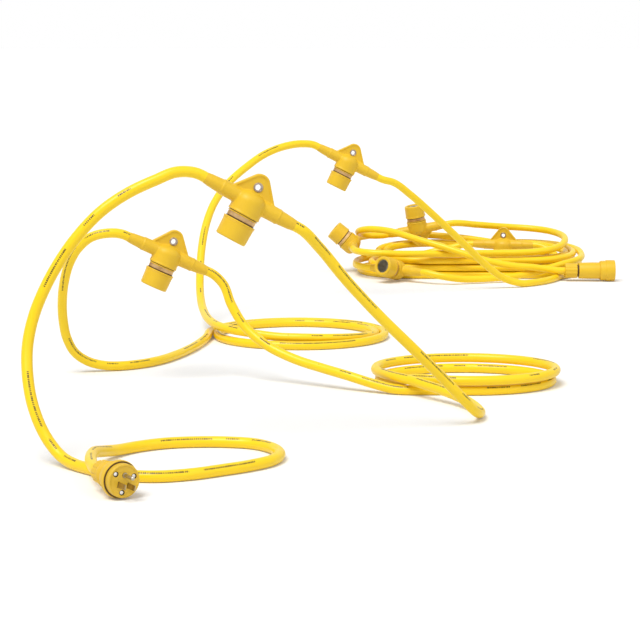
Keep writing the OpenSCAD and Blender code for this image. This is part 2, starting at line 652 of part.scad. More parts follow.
module plug_shell() { at_plug() plug_housing(); }
module plug_face() { at_plug() plug_face_plate(); }
module plug_clamp_nut() {
  at_plug() translate([0, 0, plug_back - run_gap]) clamp_nut(plug_nut_d, plug_nut_h);
}
module line_blades() {
  color(brass) at_plug() rotate([0, 0, plug_roll]) at_blades() union() {
    translate([-blade_w / 2, -blade_t / 2, -13])
      cube([blade_w, blade_t, blade_l + 12]);
    translate([0, 0, blade_l - 1 - eps]) rotate([90, 0, 0])
      linear_extrude(blade_t, center = true)
        polygon([[-blade_w / 2, 0], [blade_w / 2, 0], [blade_w / 2 - 0.8, 1 + eps],
                 [0.8 - blade_w / 2, 1 + eps]]);
  }
}
module ground_pin() {
  color(brass) at_plug() rotate([0, 0, plug_roll]) at_ground() rotate_extrude()
    polygon(concat([[0, -13], [ground_root_r, -13], [ground_root_r, 0], [ground_d / 2, 0]],
      [for (a = [0:22.5:90]) [ground_d / 2 * cos(a), ground_l - 1.8 + 1.8 * sin(a)]]));
}
module face_screws() {
  color(nickel) at_plug() rotate([0, 0, plug_roll]) at_screws() difference() {
    union() {
      translate([0, 0, -1.5]) cylinder(r = 2.8, h = 1.3);
      translate([0, 0, -9.5]) cylinder(r = 1.4, h = 8.5);
    }
    translate([-3, -0.4, -0.7]) cube([6, 0.8, 1]);
  }
}

module connector_body() { at_connector() connector_housing(); }
module connector_lip() { at_connector() connector_sleeve(); }
module connector_face() { at_connector() connector_insert(); }
module connector_contacts() { color(brass) at_connector() connector_contact_set(); }
module connector_clamp_nut() {
  at_connector() translate([0, 0, conn_nut_h]) clamp_nut(nut_d, conn_nut_h);
}

module cord_1_plug_lead() { tube(ROUTE_1, free_sides); }
module cord_2_fall() { tube(ROUTE_2_FALL, free_sides); }
module coil_2() { tube(coil_path(COIL_2, coil_2_steps), wound_sides); }
module cord_2_rise() { tube(ROUTE_2_RISE, free_sides); }
module cord_3_drop() { tube(ROUTE_3_DROP, free_sides); }
module coil_3() { tube(coil_path(COIL_3, coil_3_steps), wound_sides); }
module cord_3_rise() { tube(ROUTE_3_RISE, free_sides); }
module cord_4_drop() { tube(ROUTE_4_DROP, free_sides); }
module hank_4() { tube(HANK_4, wound_sides); }
module hank_5() { tube(HANK_5, wound_sides); }
module hank_6() { tube(HANK_6, wound_sides); }
module cord_7_lap() { tube(ROUTE_7, free_sides); }
module cord_8_tail() { tube(ROUTE_8, free_sides); }

echo(coil_2_self_gap = self_gap(coil_path(COIL_2, coil_2_steps)));
echo(coil_3_self_gap = self_gap(coil_path(COIL_3, coil_3_steps)));
echo(hank_4_self_gap = self_gap(HANK_4));
echo(hank_5_self_gap = self_gap(HANK_5));
echo(hank_6_self_gap = self_gap(HANK_6));

holder_body(1);  // holder_body_1
holder_body(2);  // holder_body_2
holder_body(3);  // holder_body_3
holder_body(4);  // holder_body_4
holder_body(5);  // holder_body_5
holder_body(6);  // holder_body_6
holder_body(7);  // holder_body_7
lamp_skirt(1);  // lamp_skirt_1
lamp_skirt(2);  // lamp_skirt_2
lamp_skirt(3);  // lamp_skirt_3
lamp_skirt(4);  // lamp_skirt_4
lamp_skirt(5);  // lamp_skirt_5
lamp_skirt(6);  // lamp_skirt_6
lamp_skirt(7);  // lamp_skirt_7
centre_contact(1);  // centre_contact_1
centre_contact(2);  // centre_contact_2
centre_contact(3);  // centre_contact_3
centre_contact(4);  // centre_contact_4
centre_contact(5);  // centre_contact_5
centre_contact(6);  // centre_contact_6
centre_contact(7);  // centre_contact_7
collars();
socket_inserts();
screw_shells();
tab_eyelets();
plug_shell();
plug_face();
plug_clamp_nut();
line_blades();
ground_pin();
face_screws();
connector_body();
connector_lip();
connector_face();
connector_contacts();
connector_clamp_nut();
cord_1_plug_lead();
cord_2_fall();
coil_2();
cord_2_rise();
cord_3_drop();
coil_3();
cord_3_rise();
cord_4_drop();
hank_4();
hank_5();
hank_6();
cord_7_lap();
cord_8_tail();
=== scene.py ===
# Heavy-duty lighting string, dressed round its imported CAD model: seven moulded lampholders
# on one yellow cord, with a three-pin plug on one end and a sleeved connector on the other.
import math

import bmesh
import bpy
import numpy as np
from mathutils import Euler, Matrix, Vector


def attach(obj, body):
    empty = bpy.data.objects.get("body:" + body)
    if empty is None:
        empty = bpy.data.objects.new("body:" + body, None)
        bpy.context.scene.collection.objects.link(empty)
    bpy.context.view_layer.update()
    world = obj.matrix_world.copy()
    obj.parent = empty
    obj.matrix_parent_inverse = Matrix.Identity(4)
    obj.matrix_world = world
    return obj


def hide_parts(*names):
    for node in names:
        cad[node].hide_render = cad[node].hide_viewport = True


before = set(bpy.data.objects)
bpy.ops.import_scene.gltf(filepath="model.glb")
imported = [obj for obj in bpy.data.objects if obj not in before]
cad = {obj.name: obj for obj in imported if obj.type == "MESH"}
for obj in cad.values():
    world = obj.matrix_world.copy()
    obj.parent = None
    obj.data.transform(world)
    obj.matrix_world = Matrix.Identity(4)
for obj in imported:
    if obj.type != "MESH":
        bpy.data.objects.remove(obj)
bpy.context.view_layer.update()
MM = 0.001

# ---- camera ----------------------------------------------------------
# It stands low in front of the plug and looks along the string to the hank.
def linked(name, data):
    """An object of the data, placed in the scene."""
    made = bpy.data.objects.new(name, data)
    bpy.context.scene.collection.objects.link(made)
    return made


camera = linked("camera", bpy.data.cameras.new("camera"))
camera.data.sensor_width = 36
camera.data.lens = 112.5
camera.data.clip_end = 60
camera.location = (-0.174, -3.446, 0.558)
camera.rotation_euler = (math.radians(90 - 8.4467), 0, 0)
bpy.context.scene.camera = camera

# ---- cord: lay -------------------------------------------------------
# One round rubber-jacketed cord of three cores, 15 mm over the jacket, cut into eight runs
# by the lampholders that are moulded on it. It is stiff enough to stand in arcs.
CORD_D = 15.0
LAY_STEP = 16.4
FLOOR_Z = CORD_D / 2
SLEEVE_HALF = 62.5

# Each lampholder: the crossing of its cord and lamp axes, and its turns about X, Y and Z.
HOLDERS = [
    ((-266, -816, 325), (0, 29, 12)),
    ((-412, -340, 201), (0, -25, 195)),
    ((-117, 611, 279), (0, 27, 10)),
    ((244, 1092, 58), (0, 0, 168)),
    ((-6, 892, 24), (-105, 0, -38)),
    ((-100, 1042, 62), (-130, 0, -90)),
    ((50, 1123, 90), (175, 10, 180)),
]
PLUG_PLACE = ((-405, -1139, 23), (0, 90, -58))
CONNECTOR_PLACE = ((361, 892, 23), (0, 90, 0))
PLUG_SPIGOT_END = 60.0
CONNECTOR_SPIGOT_START = 2.3
TUCKED_IN = 3.0
STEPS_A_TURN = 72
HANK_HALF = 125


def turn_of(place):
    """The turns of a place, in degrees about X, Y and Z, as one matrix."""
    return Euler([math.radians(a) for a in place[1]], "XYZ").to_matrix()


def at(place, x, y, z):
    """A point of a piece's own frame, set in the string, in millimetres."""
    return np.array(turn_of(place) @ Vector((x, y, z))) + np.array(place[0], float)


def way(place, x, y, z):
    """A direction of a piece's own frame, set in the string."""
    return np.array(turn_of(place) @ Vector((x, y, z)))


def holder_in(i):
    """Where the cord enters a lampholder, and its direction there."""
    return at(HOLDERS[i - 1], -SLEEVE_HALF, 0, 0), way(HOLDERS[i - 1], 1, 0, 0)


def holder_out(i):
    """Where the cord leaves a lampholder, and its direction there."""
    return at(HOLDERS[i - 1], SLEEVE_HALF, 0, 0), way(HOLDERS[i - 1], 1, 0, 0)


def leaving(end):
    """The first points of a run, which starts a little inside its piece."""
    point, direction = end
    return [point - TUCKED_IN * direction, point, point + CORD_D * direction]


def entering(end):
    """The last points of a run, which ends a little inside its piece."""
    point, direction = end
    return [point - CORD_D * direction, point, point + TUCKED_IN * direction]


def eased(f, start, end):
    """From 0 at the start to 1 at the end, with soft ends."""
    s = max(0.0, min(1.0, (f - start) / (end - start)))
    return s * s * (3 - 2 * s)


def coil_turns(c, turns):
    """A coil wound clockwise seen from above, with a step inward and a change of height."""
    found = []
    for t in np.linspace(0, turns, int(turns * STEPS_A_TURN) + 1):
        a = math.radians(c["start"] - 360 * t)
        found.append(np.array([
            c["centre"][0] + (c["radii"][0] - c["inward"] * t) * math.cos(a),
            c["centre"][1] + (c["radii"][1] - c["inward"] * t) * math.sin(a),
            c["height"] + c["climb"] * eased(t, *c["while"])]))
    return found


def loop_point(w, u):
    """A point of the hank's round-ended loops, u of them from the middle of the right end.

    Each round end takes a third of a loop, and each straight takes a sixth.
    """
    v = u - math.floor(u)
    b = w["radius"] + w["step"] * (u - w["from"])
    s = w["half"]
    if v < 1 / 6:
        a, x = v * 540, s
    elif v < 1 / 3:
        a, x = 90, s - (v - 1 / 6) * 12 * s
    elif v < 2 / 3:
        a, x = 90 + (v - 1 / 3) * 540, -s
    elif v < 5 / 6:
        a, x = 270, -s + (v - 2 / 3) * 12 * s
    else:
        a, x = 270 + (v - 5 / 6) * 540, s
    a = math.radians(a)
    y = b * math.sin(a)
    return np.array([w["centre"][0] + x + b * math.cos(a), w["centre"][1] + y,
                     w["height"] + w["rise"] * (y + HANK_HALF) / (2 * HANK_HALF)])


def loops(w, start, end):
    """One layer of the hank, from one count of loops to another."""
    steps = round((end - start) * STEPS_A_TURN)
    return [loop_point(w, u) for u in np.linspace(start, end, steps + 1)]


COIL_2 = {"centre": (55, -367), "radii": (142, 109), "start": 185, "height": FLOOR_Z + 16,
          "inward": 6, "climb": -16, "while": (0.85, 0.97)}
COIL_3 = {"centre": (-212, 97), "radii": (162, 150), "start": 184, "height": FLOOR_Z,
          "inward": LAY_STEP, "climb": 12, "while": (1.45, 1.8)}
COIL_TURNS = 43 / 24
LAY_A = {"centre": (164, 1044), "half": 131, "radius": HANK_HALF, "step": -LAY_STEP,
         "from": -1 / 12, "height": FLOOR_Z, "rise": 0}
LAY_B = {"centre": (172, 1044), "half": 123, "radius": 90, "step": LAY_STEP, "from": 1 / 2,
         "height": FLOOR_Z + 16, "rise": 2}
LAY_C = {"centre": (181, 1044), "half": 106, "radius": HANK_HALF, "step": -LAY_STEP,
         "from": 0, "height": FLOOR_Z + 32, "rise": 16}

CORD_1 = [
    *leaving((at(PLUG_PLACE, 0, 0, -PLUG_SPIGOT_END), way(PLUG_PLACE, 0, 0, -1))),
    (-454, -1045, 24), (-459, -1010, 24), (-459, -973, 22), (-452, -935, 15),
    (-437, -899, 9), (-411, -869, 7.5), (-377, -849, 7.5), (-338, -841, 7.5),
    (-296, -842, 7.5), (-261, -853, 7.5), (-236, -881, 7.5), (-226, -919, 7.5),
    (-236, -956, 7.5), (-261, -984, 7.5), (-296, -1010, 7.5), (-334, -1034, 7.5),
    (-373, -1046, 7.5), (-412, -1041, 7.5), (-447, -1018, 7.5), (-478, -986, 7.5),
    (-504, -959, 15), (-524, -945, 37), (-540, -934, 71), (-549, -918, 108),
    (-551, -901, 146), (-544, -889, 183), (-530, -883, 218), (-512, -878, 251),
    (-487, -872, 286), (-457, -866, 317), (-423, -858, 340), (-388, -849, 356),
    (-360, -839, 366),
    *entering(holder_in(1))]
CORD_2 = [
    *leaving(holder_out(1)),
    (-176, -784, 262), (-139, -766, 215), (-92, -747, 162), (-46, -730, 115),
    (-4, -711, 71), (26, -696, 38), (47, -672, 15), (55, -636, 8), (49, -601, 10),
    (29, -556, 15), (6, -524, 19), (-16, -497, 22), (-38, -471, 24.5), (-63, -441, 25),
    *coil_turns(COIL_2, COIL_TURNS),
    (3, -462, 7.5), (-30, -463, 7.5), (-60, -459, 8.5), (-92, -445, 14), (-130, -427, 23),
    (-171, -402, 31), (-214, -377, 41), (-259, -355, 60), (-293, -337, 87),
    (-314, -326, 120), (-327, -320, 151.5),
    *entering(holder_in(2))]
CORD_3 = [
    *leaving(holder_out(2)),
    (-504, -363, 236), (-528, -362, 230), (-549, -355, 213), (-565, -342, 188),
    (-576, -327, 156), (-582, -310, 121), (-583, -295, 89), (-579, -284, 59),
    (-568, -273, 34), (-549, -262, 18), (-525, -254, 10), (-493, -244, 7.5),
    (-463, -223, 7.5), (-439, -191, 7.5), (-418, -144, 7.5), (-399, -84, 7.5),
    (-385, -21, 7.5),
    *coil_turns(COIL_3, COIL_TURNS),
    (-300, -6, 25), (-331, 16, 27), (-354, 48, 29), (-369, 88, 31), (-379, 132, 33),
    (-387, 179, 37), (-394, 226, 46), (-399, 270, 64), (-401, 310, 93), (-400, 350, 131),
    (-394, 392, 172), (-380, 434, 211), (-355, 475, 246), (-320, 510, 276),
    (-279, 546, 302), (-240, 573, 314.5), (-211, 589, 317.5),
    *entering(holder_in(3))]
CORD_4 = [
    *leaving(holder_out(3)),
    (-24, 636, 236), (12, 655, 209), (52, 680, 173), (94, 704, 133), (138, 730, 90),
    (180, 754, 49), (222, 774, 19), (262, 792, 7.5), (300, 824, 7.5), (329, 865, 7.5),
    (348, 904, 7.5),
    *loops(LAY_A, -1 / 12, 1.875),
    (351, 972, 8), (363, 989, 11), (368, 1008, 17), (368, 1026, 25), (362, 1044, 35),
    (351, 1059, 45), (337, 1069, 53),
    *entering(holder_in(4))]
CORD_5 = [
    *leaving(holder_out(4)),
    (136, 1112, 51), (101, 1113, 43), (66, 1112, 35), (32, 1110, 28), (1, 1105, 25),
    (-23, 1087, 23.5), (-36, 1063, 23.5),
    *loops(LAY_B, 1 / 2, 2 + 1 / 3),
    (26, 1164, 25), (-14, 1157, 25), (-50, 1136, 25), (-76, 1105, 24.5), (-88, 1076, 24),
    (-92, 1046, 24), (-93, 1016, 24), (-93, 991, 24), (-89, 971, 24), (-80, 954, 24),
    *entering(holder_in(5))]
CORD_6 = [
    *leaving(holder_out(5)),
    (78, 834, 20), (106, 831, 15), (135, 838, 11), (164, 848, 10), (194, 858, 10),
    (225, 869, 11), (256, 882, 13), (284, 895, 16), (311, 907, 21), (336, 917, 27.5),
    (361, 929, 33), (385, 946, 37), (402, 969, 40), (410, 997, 41.5),
    *loops(LAY_C, 0, 2 + 1 / 6),
    (246, 1133, 56), (211, 1134, 61), (176, 1137, 66), (141, 1143, 69.5), (106, 1150, 72),
    (71, 1158, 73.5), (36, 1169, 74), (-2, 1180, 73.5), (-38, 1184, 71.5), (-63, 1177, 69),
    (-84, 1162, 66.5), (-96, 1141, 64),
    *entering(holder_in(6))]
CORD_7 = [
    *leaving(holder_out(6)),
    (-95, 939, 61.5), (-80, 918, 61), (-59, 905, 60.5), (-30, 901, 59.5), (8, 905, 58),
    (56, 912, 57.5), (101, 919, 57), (146, 925, 57), (191, 929, 57), (233, 931, 57.5),
    (270, 932, 58), (305, 939, 59.5), (338, 958, 62.5), (363, 988, 68), (376, 1024, 75),
    (376, 1063, 81), (363, 1100, 85), (338, 1130, 88), (305, 1148, 90), (268, 1153, 92),
    (228, 1148, 95), (188, 1138, 99),
    *entering(holder_in(7))]
CORD_8 = [
    *leaving(holder_out(7)),
    (-48, 1120, 75.5), (-68, 1109, 78), (-82, 1091, 83.5), (-87, 1068, 90), (-81, 1045, 96),
    (-64, 1024, 100.5), (-37, 1003, 101), (-8, 979, 98), (20, 956, 91.5), (50, 934, 84),
    (82, 916, 76.5), (113, 902, 68), (142, 893, 59), (170, 888, 50.5), (200, 885, 43),
    (230, 884, 37), (260, 885, 33), (290, 886, 31), (318, 889, 27),
    *entering((at(CONNECTOR_PLACE, 0, 0, CONNECTOR_SPIGOT_START),
               way(CONNECTOR_PLACE, 0, 0, 1)))]

RING_SPACING = 5.0
FINE_STEP = 2.0


def smooth_line(points):
    """One smooth curve through the points, in even steps, and its length."""
    p = np.array([np.array(q, float) for q in points])
    keep = [0]
    for i in range(1, len(p)):
        if np.linalg.norm(p[i] - p[keep[-1]]) > FINE_STEP or i == len(p) - 1:
            keep.append(i)
    p = p[keep]
    t = np.concatenate([[0], np.cumsum(np.linalg.norm(np.diff(p, axis=0), axis=1))])
    slope = np.zeros_like(p)
    chord = np.diff(p, axis=0) / np.diff(t)[:, None]
    before, after = np.diff(t)[:-1, None], np.diff(t)[1:, None]
    slope[1:-1] = (chord[:-1] * after + chord[1:] * before) / (before + after)
    slope[0], slope[-1] = chord[0], chord[-1]
    line = []
    for i in range(len(p) - 1):
        h = t[i + 1] - t[i]
        n = max(2, int(math.ceil(h / FINE_STEP)))
        for k in range(n):
            f = k / n
            a, b = 2 * f**3 - 3 * f**2 + 1, f**3 - 2 * f**2 + f
            c, d = -2 * f**3 + 3 * f**2, f**3 - f**2
            line.append(a * p[i] + b * h * slope[i] + c * p[i + 1] + d * h * slope[i + 1])
    line.append(p[-1])
    line = np.array(line)
    # Between its points the curve may dip a little, and there the floor carries it.
    line[:, 2] = np.maximum(line[:, 2], FLOOR_Z)
    s = np.concatenate([[0], np.cumsum(np.linalg.norm(np.diff(line, axis=0), axis=1))])
    even = np.linspace(0, s[-1], int(round(s[-1] / RING_SPACING)) + 1)
    return np.column_stack([np.interp(even, s, line[:, k]) for k in range(3)]), s[-1]


CORD_SIDES = 24
MARKED_SIDE = np.array([0.15, -0.75, 0.65])
TWIST_EASE = 41


def cord_tube(name, points):
    """Closed tube round the points, with lengths and turns of the jacket in its UV map."""
    line, length = smooth_line(points)
    tangent = np.gradient(line, axis=0)
    tangent /= np.linalg.norm(tangent, axis=1)[:, None]
    side = MARKED_SIDE - (tangent @ MARKED_SIDE)[:, None] * tangent
    kernel = np.hanning(TWIST_EASE)
    for k in range(3):
        side[:, k] = np.convolve(np.pad(side[:, k], TWIST_EASE // 2, "edge"), kernel, "valid")
    side -= np.sum(side * tangent, axis=1)[:, None] * tangent
    side /= np.linalg.norm(side, axis=1)[:, None]
    across = np.cross(tangent, side)
    mesh = bmesh.new()
    uv = mesh.loops.layers.uv.new("jacket")
    rings = []
    for i in range(len(line)):
        ring = []
        for k in range(CORD_SIDES):
            a = 2 * math.pi * k / CORD_SIDES
            point = line[i] + CORD_D / 2 * (math.cos(a) * side[i] + math.sin(a) * across[i])
            ring.append(mesh.verts.new(point * MM))
        rings.append(ring)
    step = length / (len(line) - 1) * MM
    for i in range(len(rings) - 1):
        for k in range(CORD_SIDES):
            n = (k + 1) % CORD_SIDES
            face = mesh.faces.new((rings[i][k], rings[i][n], rings[i + 1][n], rings[i + 1][k]))
            face.smooth = True
            corners = ((i, k), (i, k + 1), (i + 1, k + 1), (i + 1, k))
            for loop, (along, round_) in zip(face.loops, corners):
                loop[uv].uv = (along * step, round_ / CORD_SIDES)
    mesh.faces.new(reversed(rings[0]))
    mesh.faces.new(rings[-1])
    data = bpy.data.meshes.new(name)
    mesh.to_mesh(data)
    mesh.free()
    return linked(name, data), line * MM


# ---- cord: jacket ----------------------------------------------------
# The jacket is an extruded yellow thermoplastic rubber with a soft gloss and a very fine
# grain. A line of plain dark bars runs along the long runs, in groups of uneven length.
def sockets(group, inputs, outputs):
    """Named inputs, each of the kind of its first value, and named outputs."""
    kinds = {int: "Int", float: "Float", tuple: "Color"}
    for name, value in inputs.items():
        made = group.interface.new_socket(name=name, in_out="INPUT",
                                          socket_type="NodeSocket" + kinds[type(value)])
        made.default_value = value
    for name, kind in outputs.items():
        group.interface.new_socket(name=name, in_out="OUTPUT", socket_type="NodeSocket" + kind)


def node(tree, kind, inputs=None, **settings):
    """A node with its settings, and its inputs linked or given their values."""
    made = tree.nodes.new(kind)
    for key, value in settings.items():
        setattr(made, key, value)
    for key, value in (inputs or {}).items():
        if isinstance(value, bpy.types.NodeSocket):
            tree.links.new(value, made.inputs[key])
        else:
            made.inputs[key].default_value = value
    return made


def maths(tree, operation, a, b=0.0):
    return node(tree, "ShaderNodeMath", {0: a, 1: b}, operation=operation).outputs[0]


def times(tree, a, b):
    return maths(tree, "MULTIPLY", a, b)


def noise(tree, spot, scale, detail=2.0, roughness=0.5):
    return node(tree, "ShaderNodeTexNoise", {"Vector": spot, "Scale": scale, "Detail": detail,
                "Roughness": roughness}).outputs["Fac"]


def ranged(tree, value, low=0.0, high=1.0, to_low=0.0, to_high=1.0, **settings):
    """The value, stretched from one range to another and held inside it."""
    return node(tree, "ShaderNodeMapRange", {
        "Value": value, "From Min": low, "From Max": high, "To Min": to_low,
        "To Max": to_high}, **settings).outputs["Result"]


def tinted(tree, share, colour, other):
    """A colour with a share of another over it."""
    return node(tree, "ShaderNodeMix", {0: share, 6: colour, 7: other},
                data_type="RGBA").outputs[2]


def surface_group(name, inputs):
    """A shader group that turns its named inputs into a colour, a roughness and a height."""
    group = bpy.data.node_groups.new(name, "ShaderNodeTree")
    sockets(group, inputs, {"Colour": "Color", "Roughness": "Float", "Height": "Float"})
    spot = node(group, "ShaderNodeTexCoord").outputs["Object"]
    return group, node(group, "NodeGroupInput").outputs, spot


def moulded_surface():
    """Group: clouded colour, roughness and grain height of a rubber compound."""
    group, given, spot = surface_group("moulded compound", {
        "Colour": (1, 0.6, 0.05, 1), "Cloud": (0.8, 0.45, 0.03, 1), "Cloud size": 14.0,
        "Cloud amount": 0.25, "Grain size": 900.0, "Roughness": 0.45})
    cloud = noise(group, spot, given["Cloud size"], detail=4.0, roughness=0.6)
    share = times(group, ranged(group, cloud, 0.35, 0.75), given["Cloud amount"])
    scuff = noise(group, spot, 60.0, detail=5.0, roughness=0.65)
    swing = ranged(group, scuff, 0.3, 0.7, -0.06, 0.08)
    node(group, "NodeGroupOutput", {
        "Colour": tinted(group, share, given["Colour"], given["Cloud"]),
        "Roughness": maths(group, "ADD", swing, given["Roughness"]),
        "Height": noise(group, spot, given["Grain size"])})
    return group


MOULDED = moulded_surface()


def material(name):
    made = bpy.data.materials.new(name)
    made.use_nodes = True
    tree = made.node_tree
    tree.nodes.clear()
    shader = node(tree, "ShaderNodeBsdfPrincipled")
    node(tree, "ShaderNodeOutputMaterial", {0: shader.outputs[0]})
    return made, tree, shader


def surfaced(name, group, settings, bump, depth):
    """A material that takes its colour, roughness and relief from a shared group."""
    made, tree, shader = material(name)
    surface = node(tree, "ShaderNodeGroup", settings, node_tree=group)
    relief = node(tree, "ShaderNodeBump", {"Height": surface.outputs["Height"],
                  "Strength": bump, "Distance": depth})
    tree.links.new(surface.outputs["Colour"], shader.inputs["Base Color"])
    tree.links.new(surface.outputs["Roughness"], shader.inputs["Roughness"])
    tree.links.new(relief.outputs["Normal"], shader.inputs["Normal"])
    return made, tree, shader, surface


def compound(name, colour, cloud, cloud_size, cloud_amount, grain_size, roughness, bump,
             specular=0.5):
    """Rubber or plastic from the shared group, with its tree, shader and surface."""
    made, tree, shader, surface = surfaced(name, MOULDED, {
        "Colour": (*colour, 1), "Cloud": (*cloud, 1), "Cloud size": cloud_size,
        "Cloud amount": cloud_amount, "Grain size": grain_size, "Roughness": roughness},
        bump, depth=0.0003)
    shader.inputs["Specular IOR Level"].default_value = specular
    return made, tree, shader, surface


JACKET_YELLOW = (0.97, 0.67, 0.008)
JACKET_SHADE = (0.92, 0.58, 0.004)
BAR_CELL = 0.0026
BARS_LENGTH = 0.019
BARS_LEFT_OUT = 0.3
BAND_LENGTH = 0.27
BAND_FILLED = 0.66
LINE_HALF_TURN = 0.028
INK_WEAR = 0.36
INK = (0.03, 0.024, 0.012, 1)
INK_COVER = 0.94


def jacket_material(name, marked):
    """The jacket, with its line of bars along the UV map's first axis if it is marked."""
    made, tree, shader, surface = compound(
        name, JACKET_YELLOW, JACKET_SHADE, cloud_size=9.0, cloud_amount=0.4, grain_size=500.0,
        roughness=0.36, bump=0.1, specular=0.35)
    shader.inputs["Coat Weight"].default_value = 0.08
    shader.inputs["Coat Roughness"].default_value = 0.2
    if not marked:
        return made
    run = node(tree, "ShaderNodeUVMap", uv_map="jacket")
    apart = node(tree, "ShaderNodeSeparateXYZ", {0: run.outputs[0]})
    along, round_ = apart.outputs["X"], apart.outputs["Y"]
    cell = maths(tree, "DIVIDE", along, BAR_CELL)
    chance = node(tree, "ShaderNodeTexWhiteNoise", {"W": maths(tree, "FLOOR", cell)},
                  noise_dimensions="1D")
    width = ranged(tree, chance.outputs["Value"], to_low=0.5, to_high=0.9)
    bar = maths(tree, "LESS_THAN", maths(tree, "FRACT", cell), width)
    run_of_bars = maths(tree, "FLOOR", maths(tree, "DIVIDE", along, BARS_LENGTH))
    run_chance = node(tree, "ShaderNodeTexWhiteNoise", {"W": run_of_bars},
                      noise_dimensions="1D")
    kept = maths(tree, "GREATER_THAN", run_chance.outputs["Value"], BARS_LEFT_OUT)
    band_at = maths(tree, "FRACT", maths(tree, "DIVIDE", along, BAND_LENGTH))
    in_band = maths(tree, "LESS_THAN", band_at, BAND_FILLED)
    line_off = maths(tree, "ABSOLUTE", maths(tree, "SUBTRACT", maths(
        tree, "FRACT", maths(tree, "ADD", round_, 0.5)), 0.5))
    in_line = maths(tree, "LESS_THAN", line_off, LINE_HALF_TURN)
    inked = maths(tree, "GREATER_THAN", noise(tree, run.outputs[0], 700.0), INK_WEAR)
    mark = times(tree, times(tree, bar, kept), times(tree, times(tree, in_band, in_line), inked))
    ink = tinted(tree, times(tree, mark, INK_COVER), surface.outputs["Colour"], INK)
    tree.links.new(ink, shader.inputs["Base Color"])
    return made


MARKED_JACKET = jacket_material("marked cord jacket", True)
PLAIN_JACKET = jacket_material("plain cord jacket", False)
for name, points, length, lay, made, nodes in [
        ("cord_plug_to_1", CORD_1, 1.36, "loose", MARKED_JACKET, ["cord_1_plug_lead"]),
        ("cord_1_to_2", CORD_2, 2.60, "coiled", MARKED_JACKET,
         ["cord_2_fall", "coil_2", "cord_2_rise"]),
        ("cord_2_to_3", CORD_3, 3.25, "coiled", MARKED_JACKET,
         ["cord_3_drop", "coil_3", "cord_3_rise"]),
        ("cord_3_to_4", CORD_4, 3.22, "coiled", PLAIN_JACKET, ["cord_4_drop", "hank_4"]),
        ("cord_4_to_5", CORD_5, 2.73, "coiled", PLAIN_JACKET, ["hank_5"]),
        ("cord_5_to_6", CORD_6, 3.28, "coiled", PLAIN_JACKET, ["hank_6"]),
        ("cord_6_to_7", CORD_7, 0.93, "loose", PLAIN_JACKET, ["cord_7_lap"]),
        ("cord_7_to_connector", CORD_8, 0.64, "loose", PLAIN_JACKET, ["cord_8_tail"])]:
    piece, line = cord_tube(name, points)
    piece.data.materials.append(made)
    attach(piece, "string")
    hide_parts(*nodes)

# ---- lampholder mouldings --------------------------------------------
# Each is moulded in one piece of yellow rubber over the cord and its splice: two tapered
# sleeves, a domed hub and a hanging tab with a raised rim. All its joins have soft fillets.
HOLDER_YELLOW = (0.80, 0.51, 0.024)
HOLDER_SHADE = (0.70, 0.40, 0.014)
SEAM_AT = 42.5
SEAM_R = 10.9
SEAM_W = 1.6
# The thinned end of a sleeve: from, to, and the radius at each.
SLEEVE_END = (60.0, 69.0, 8.5, 7.55)
GRID = 0.7
ROUND_OFF_PASSES = 12
RUBBER = compound("moulded rubber", HOLDER_YELLOW, HOLDER_SHADE, cloud_size=22.0,
                  cloud_amount=0.35, grain_size=1100.0, roughness=0.42, bump=0.3,
                  specular=0.35)[0]


def plain_mesh(piece):
    """The evaluated piece as a mesh of its own, and the piece itself removed."""
    graph = bpy.context.evaluated_depsgraph_get()
    graph.update()
    data = bpy.data.meshes.new_from_object(piece.evaluated_get(graph))
    piece.modifiers.clear()
    bpy.data.objects.remove(piece)
    return data


def placed(place):
    """A piece's own frame, set in the string."""
    return Matrix.Translation(Vector(place[0]) * MM) @ turn_of(place).to_4x4()


def filleted_holder():
    """The moulding in its own frame, with its joins rounded and its ends thinned to the cord."""
    data = cad["holder_body_1"].data.copy()
    data.transform(placed(HOLDERS[0]).inverted())
    work = bmesh.new()
    work.from_mesh(data)
    bmesh.ops.remove_doubles(work, verts=work.verts, dist=1e-6)
    for side in (-1, 1):
        seam = (SEAM_AT - SEAM_W / 2, SEAM_AT + SEAM_W / 2, SEAM_R, SEAM_R)
        for start, end, r_start, r_end in (seam, SLEEVE_END):
            place = Matrix.Translation((side * (start + end) / 2 * MM, 0, 0))
            bmesh.ops.create_cone(
                work, cap_ends=True, segments=48, radius1=r_start * MM, radius2=r_end * MM,
                depth=(end - start) * MM,
                matrix=place @ Matrix.Rotation(math.radians(90 * side), 4, "Y"))
    work.to_mesh(data)
    work.free()
    piece = linked("holder blank", data)
    grid = piece.modifiers.new("grid", "REMESH")
    grid.mode = "VOXEL"
    grid.voxel_size = GRID * MM
    grid.use_smooth_shade = True
    round_off = piece.modifiers.new("round off", "SMOOTH")
    round_off.factor = 0.5
    round_off.iterations = ROUND_OFF_PASSES
    return plain_mesh(piece)


holder_mesh = filleted_holder()
holder_mesh.materials.clear()
holder_mesh.materials.append(RUBBER)
for i, place in enumerate(HOLDERS, 1):
    data = holder_mesh.copy()
    data.transform(placed(place))
    piece = linked(f"holder_{i}", data)
    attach(piece, "string")
    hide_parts(f"holder_body_{i}")

# ---- tab eyelets -----------------------------------------------------
# A plated steel eyelet lines the hole of each hanging tab. It is rolled over on both faces,
# so that a hook or a nail doesn't tear the rubber.
EYELET_RISE = 21.5
EYELET_OUTLINE = [(4.0, -4.3, 1.0), (6.5, -4.0, 0.5), (6.5, -3.0, 0.2), (4.6, -3.0, 0),
                  (4.6, 3.0, 0), (6.5, 3.0, 0.2), (6.5, 4.0, 0.5), (4.0, 4.3, 1.0)]
CORNER_STEPS = 4
SHARP = math.radians(38)


